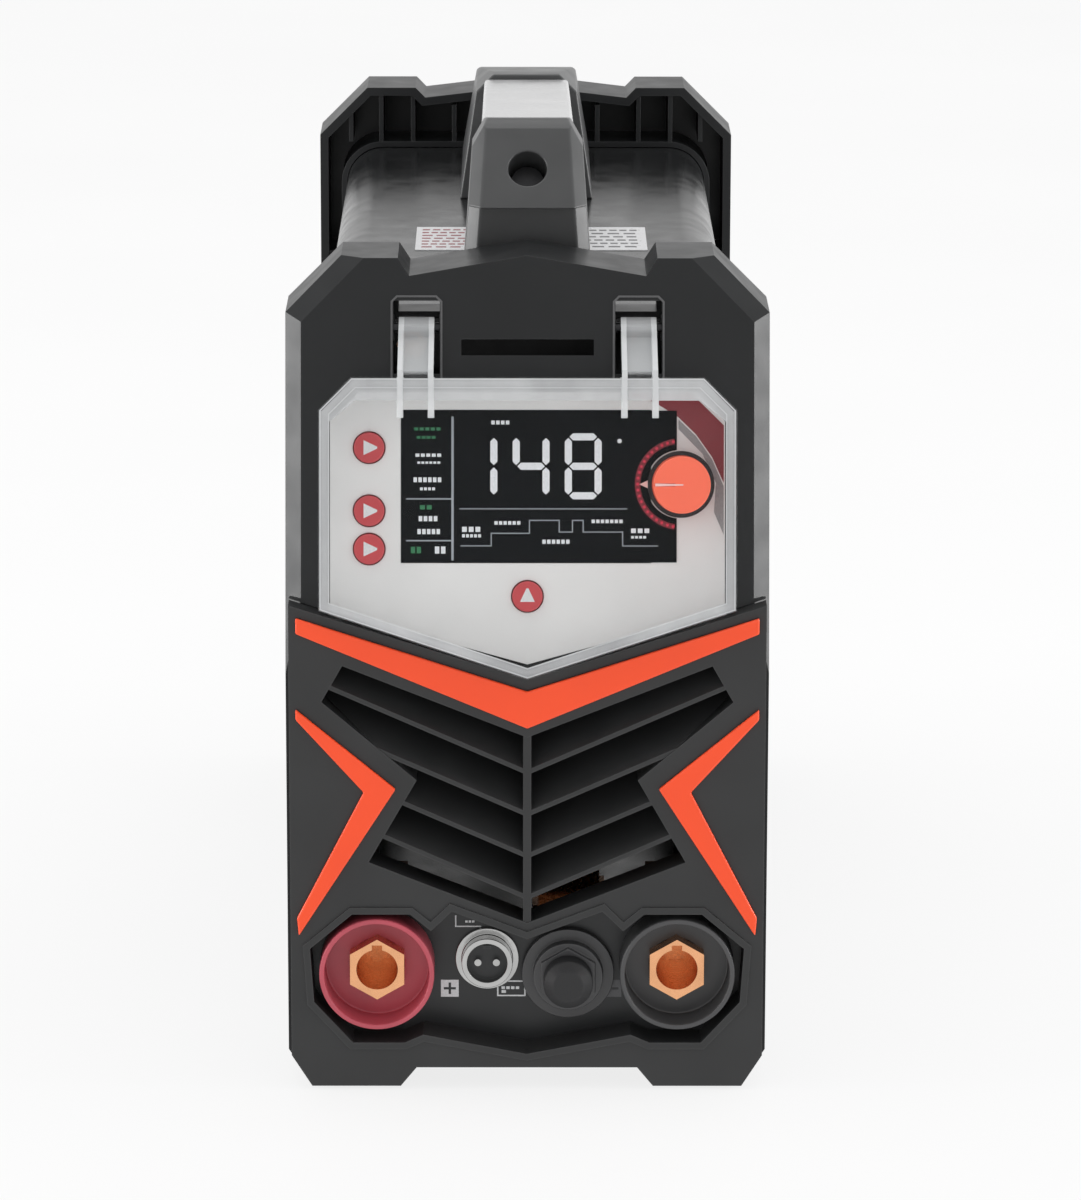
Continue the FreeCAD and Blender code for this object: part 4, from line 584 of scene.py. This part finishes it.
cover_outline = [(0, -24), (64, -3), (64, 58.5), (54, 68.5), (-54, 68.5), (-64, 58.5), (-64, -3)]
raised("flip_cover_edge", FACE, ring(cover_outline, 0.35, 0.8), COVER_OUT, COVER_LINE, EDGE_LIGHT,
       "flip_cover")
raised("flip_cover_ridge", FACE, ring(cover_outline, 3.0, 3.4), COVER_OUT, COVER_LINE, EDGE_LIGHT,
       "flip_cover")
side_bands = ring(cover_outline, 0.8, 3.0)
raised("flip_cover_wall_band", FACE, [side_bands[i] for i in SIDES_AND_V], COVER_OUT - 0.3,
       BAND_THICK, FROST, "flip_cover")
top_band = [(-63.2, 57.9), (-61.0, 54.6), (-52.6, 61.4), (52.6, 61.4), (61.0, 54.6), (63.2, 57.9),
            (53.6, 67.7), (-53.6, 67.7)]
raised("flip_cover_top_band", FACE, [top_band], COVER_OUT - 0.1, BAND_THICK, FROST, "flip_cover")

# Thin raised rims round the hinge slots, coloured paler than the case as a painted highlight.
SLOT_LOW, SLOT_TOP, SLOT_HALF, RIM, RIM_PROUD = 66.0, 93.2, 7.4, 0.6, 0.35
for name, x in (("left", -HINGE_X), ("right", HINGE_X)):
    outer = [(x - SLOT_HALF - RIM, SLOT_LOW), (x - SLOT_HALF, SLOT_LOW),
             (x - SLOT_HALF, SLOT_TOP - 1.5), (x - SLOT_HALF + 1.5, SLOT_TOP),
             (x + SLOT_HALF - 1.5, SLOT_TOP), (x + SLOT_HALF, SLOT_TOP - 1.5),
             (x + SLOT_HALF, SLOT_LOW), (x + SLOT_HALF + RIM, SLOT_LOW),
             (x + SLOT_HALF + RIM, SLOT_TOP - 1.2), (x + SLOT_HALF - 1.2, SLOT_TOP + RIM),
             (x - SLOT_HALF + 1.2, SLOT_TOP + RIM), (x - SLOT_HALF - RIM, SLOT_TOP - 1.2)]
    raised(f"slot_rim_{name}", FACE, [outer], 0.0, RIM_PROUD, RIM_HIGHLIGHT_PAINT, "chassis")

# Marks on the push buttons, and the pointer on the knob.
for name in ("upper", "middle", "lower", "centre"):
    node = "button_" + name
    low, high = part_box(node)
    middle = (low + high) / 2 - FACE.origin
    x, s = middle.dot(FACE.across) / MM, middle.dot(FACE.along) / MM
    if name == "centre":
        mark = [(x - 2.3, s - 1.7), (x + 2.3, s - 1.7), (x + 0.3, s + 2.5), (x - 0.3, s + 2.5)]
    else:
        mark = [(x - 1.7, s - 2.3), (x + 2.5, s - 0.3), (x + 2.5, s + 0.3), (x - 1.7, s + 2.3)]
    raised(node + "_mark", FACE, [mark], FACE.reach(node), INK_THICK, INK_WHITE, node)

knob_top = FACE.reach("encoder_knob")
axis_point = Vector(JOINTS["knob_turn"]["pos_m"])
SKIRT_FROM = 9.6 * MM
RING_OUTER, RING_INNER = 10.3, 9.0
skirt = [v.co - FACE.origin for v in NODES["encoder_knob"].data.vertices
         if (v.co - axis_point).cross(FACE.outward).length > SKIRT_FROM]
skirt_top = max(point.dot(FACE.outward) for point in skirt) / MM
pointer = [(KNOB_X - 8.2, KNOB_S - 0.45), (KNOB_X + 0.4, KNOB_S - 0.2),
           (KNOB_X + 0.4, KNOB_S + 0.2), (KNOB_X - 8.2, KNOB_S + 0.45)]
raised("knob_line", FACE, [pointer], knob_top, 0.1, PALE_PINK, "encoder_knob")
for index, start in enumerate((0, 180)):
    half_ring = arc(KNOB_X, KNOB_S, RING_OUTER, start, start + 180, 40)
    half_ring += arc(KNOB_X, KNOB_S, RING_INNER, start + 180, start, 40)
    raised(f"knob_ring_{index}", FACE, [half_ring], skirt_top, 0.15, PAINT["blackened_steel"],
           "encoder_knob")
tip = [(KNOB_X - 12.8, KNOB_S), (KNOB_X - 9.6, KNOB_S - 1.5), (KNOB_X - 9.6, KNOB_S + 1.5)]
raised("knob_tip", FACE, [tip], skirt_top - 1.7, 1.4, PALE_PINK, "encoder_knob")

# Printed marks on the connector panel: plus, minus, and two plain symbol boxes. The minus square's
# dark grey is painted shade.
panel_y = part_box("connector_panel")[0].y
PANEL = Plane((0.0, panel_y, 0.0), (0, 0, 1), (0, -1, 0))
SIGN = 2.8


def sign(x, z, upright):
    """A printed square with its sign left bare: the four corners, joined for a minus."""
    arm, bare = 1.9, 0.4
    rows = [bar(x - SIGN, z - SIGN, x + SIGN, z - arm), bar(x - SIGN, z + arm, x + SIGN, z + SIGN),
            bar(x - SIGN, z - arm, x - arm, z + arm), bar(x + arm, z - arm, x + SIGN, z + arm)]
    for low, high in ((z - arm, z - bare), (z + bare, z + arm)):
        if upright:
            rows += [bar(x - arm, low, x - bare, high), bar(x + bare, low, x + arm, high)]
        else:
            rows += [bar(x - arm, low, x + arm, high)]
    return rows


icons = sign(-24.3, 29.2, True) + frame_bars(-9.4, 26.6, -0.4, 31.8, 0.45)
icons += dashes(-8.0, -2.0, 29.4, 0.9, 4) + [bar(-8.0, 27.7, -6.6, 28.6)]
icons += [bar(-22.6, 49.4, -14.4, 49.8), bar(-22.6, 49.8, -22.2, 53.2)]
icons += dashes(-19.4, -16.2, 51.2, 0.7, 3)
raised("panel_icons", PANEL, icons, 0.0, INK_THICK, INK_WHITE, "chassis")
# The minus square is dark grey: painted shade.
raised("panel_icon_minus_painted_shade", PANEL, sign(27.0, 29.2, False), 0.0, INK_THICK, DIM_INK_AND_PAINTED_SHADE, "chassis")

# Generic print on the two stickers.
for node, ink, rows in (("warning_label", INK_RED, 7), ("rating_label", DIM_INK_AND_PAINTED_SHADE, 6)):
    low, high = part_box(node)
    top = Plane((0.0, 0.0, high.z), (0, 1, 0), (0, 0, 1))
    x0, x1, y0, y1 = (value / MM for value in (low.x, high.x, low.y, high.y))
    step = (y1 - y0) / (rows + 1)
    bars = []
    for i in range(rows):
        bars += dashes(x0 + 2.0, x1 - 2.0, y0 + step * (i + 1), step * 0.35, 5 + (i * 3) % 4)
    raised(node + "_print", top, bars, 0.0, 0.05, ink, "chassis")


# ---------------------------------------------------------------- floor, light, camera

def floor():
    """A plain floor lit mostly by its own glow, so that it stays even round the object."""
    half, rows = 9.0, 12
    glow = 6.8
    form = bmesh.new()
    bmesh.ops.create_grid(form, x_segments=rows, y_segments=rows, size=half)
    mesh = bpy.data.meshes.new("floor")
    form.to_mesh(mesh)
    form.free()
    thing = bpy.data.objects.new("floor", mesh)
    bpy.context.scene.collection.objects.link(thing)
    paint, tree, shader, place = nodes_of("floor_paint")
    tone = blend_colours(tree, noise(tree, place, 3.0), (0.118, 0.118, 0.118), (0.122, 0.122, 0.122))
    tree.links.new(tone, shader.inputs["Base Color"])
    tree.links.new(tone, shader.inputs["Emission Color"])
    shader.inputs["Emission Strength"].default_value = glow
    shader.inputs["Roughness"].default_value = 0.9
    shader.inputs["Specular IOR Level"].default_value = 0.1
    mesh.materials.append(paint)


def softbox(name, place, target, wide, high, power):
    """A large soft lamp that the camera doesn't see."""
    lamp = bpy.data.lights.new(name, "AREA")
    lamp.shape = "RECTANGLE"
    lamp.size = wide
    lamp.size_y = high
    lamp.energy = power
    thing = bpy.data.objects.new(name, lamp)
    bpy.context.scene.collection.objects.link(thing)
    thing.location = place
    thing.rotation_euler = (Vector(target) - Vector(place)).to_track_quat("-Z", "Y").to_euler()
    thing.visible_camera = False


floor()
softbox("overhead", (0.0, 0.3, 2.4), (0.0, 0.0, 0.1), wide=2.6, high=2.0, power=14.0)
softbox("left_strip", (-1.5, -0.05, 0.35), (0.0, -0.15, 0.2), wide=0.9, high=0.8, power=18.0)
softbox("right_strip", (1.5, -0.05, 0.35), (0.0, -0.15, 0.2), wide=0.9, high=0.8, power=19.0)

sky = bpy.data.worlds.new("studio")
sky.use_nodes = True
sky.node_tree.nodes["Background"].inputs["Color"].default_value = (0.93, 0.93, 0.93, 1.0)
sky.node_tree.nodes["Background"].inputs["Strength"].default_value = 0.9
bpy.context.scene.world = sky
bpy.context.scene.view_settings.view_transform = "Standard"

CAMERA_PLACE = (-0.00403, -1.9421, 0.5932)
YAW, PITCH, ROLL = math.radians(0.264), math.radians(13.98), math.radians(0.104)
lens = bpy.data.cameras.new("camera")
lens.sensor_fit = "VERTICAL"
lens.sensor_height = 36.0
lens.lens = 175.3
lens.clip_end = 50.0
camera = bpy.data.objects.new("camera", lens)
bpy.context.scene.collection.objects.link(camera)
camera.matrix_world = (Matrix.Translation(CAMERA_PLACE)
                       @ Matrix.Rotation(-YAW, 4, "Z")
                       @ Matrix.Rotation(math.radians(90) - PITCH, 4, "X")
                       @ Matrix.Rotation(ROLL, 4, "Z"))
bpy.context.scene.camera = camera

bpy.context.view_layer.update()
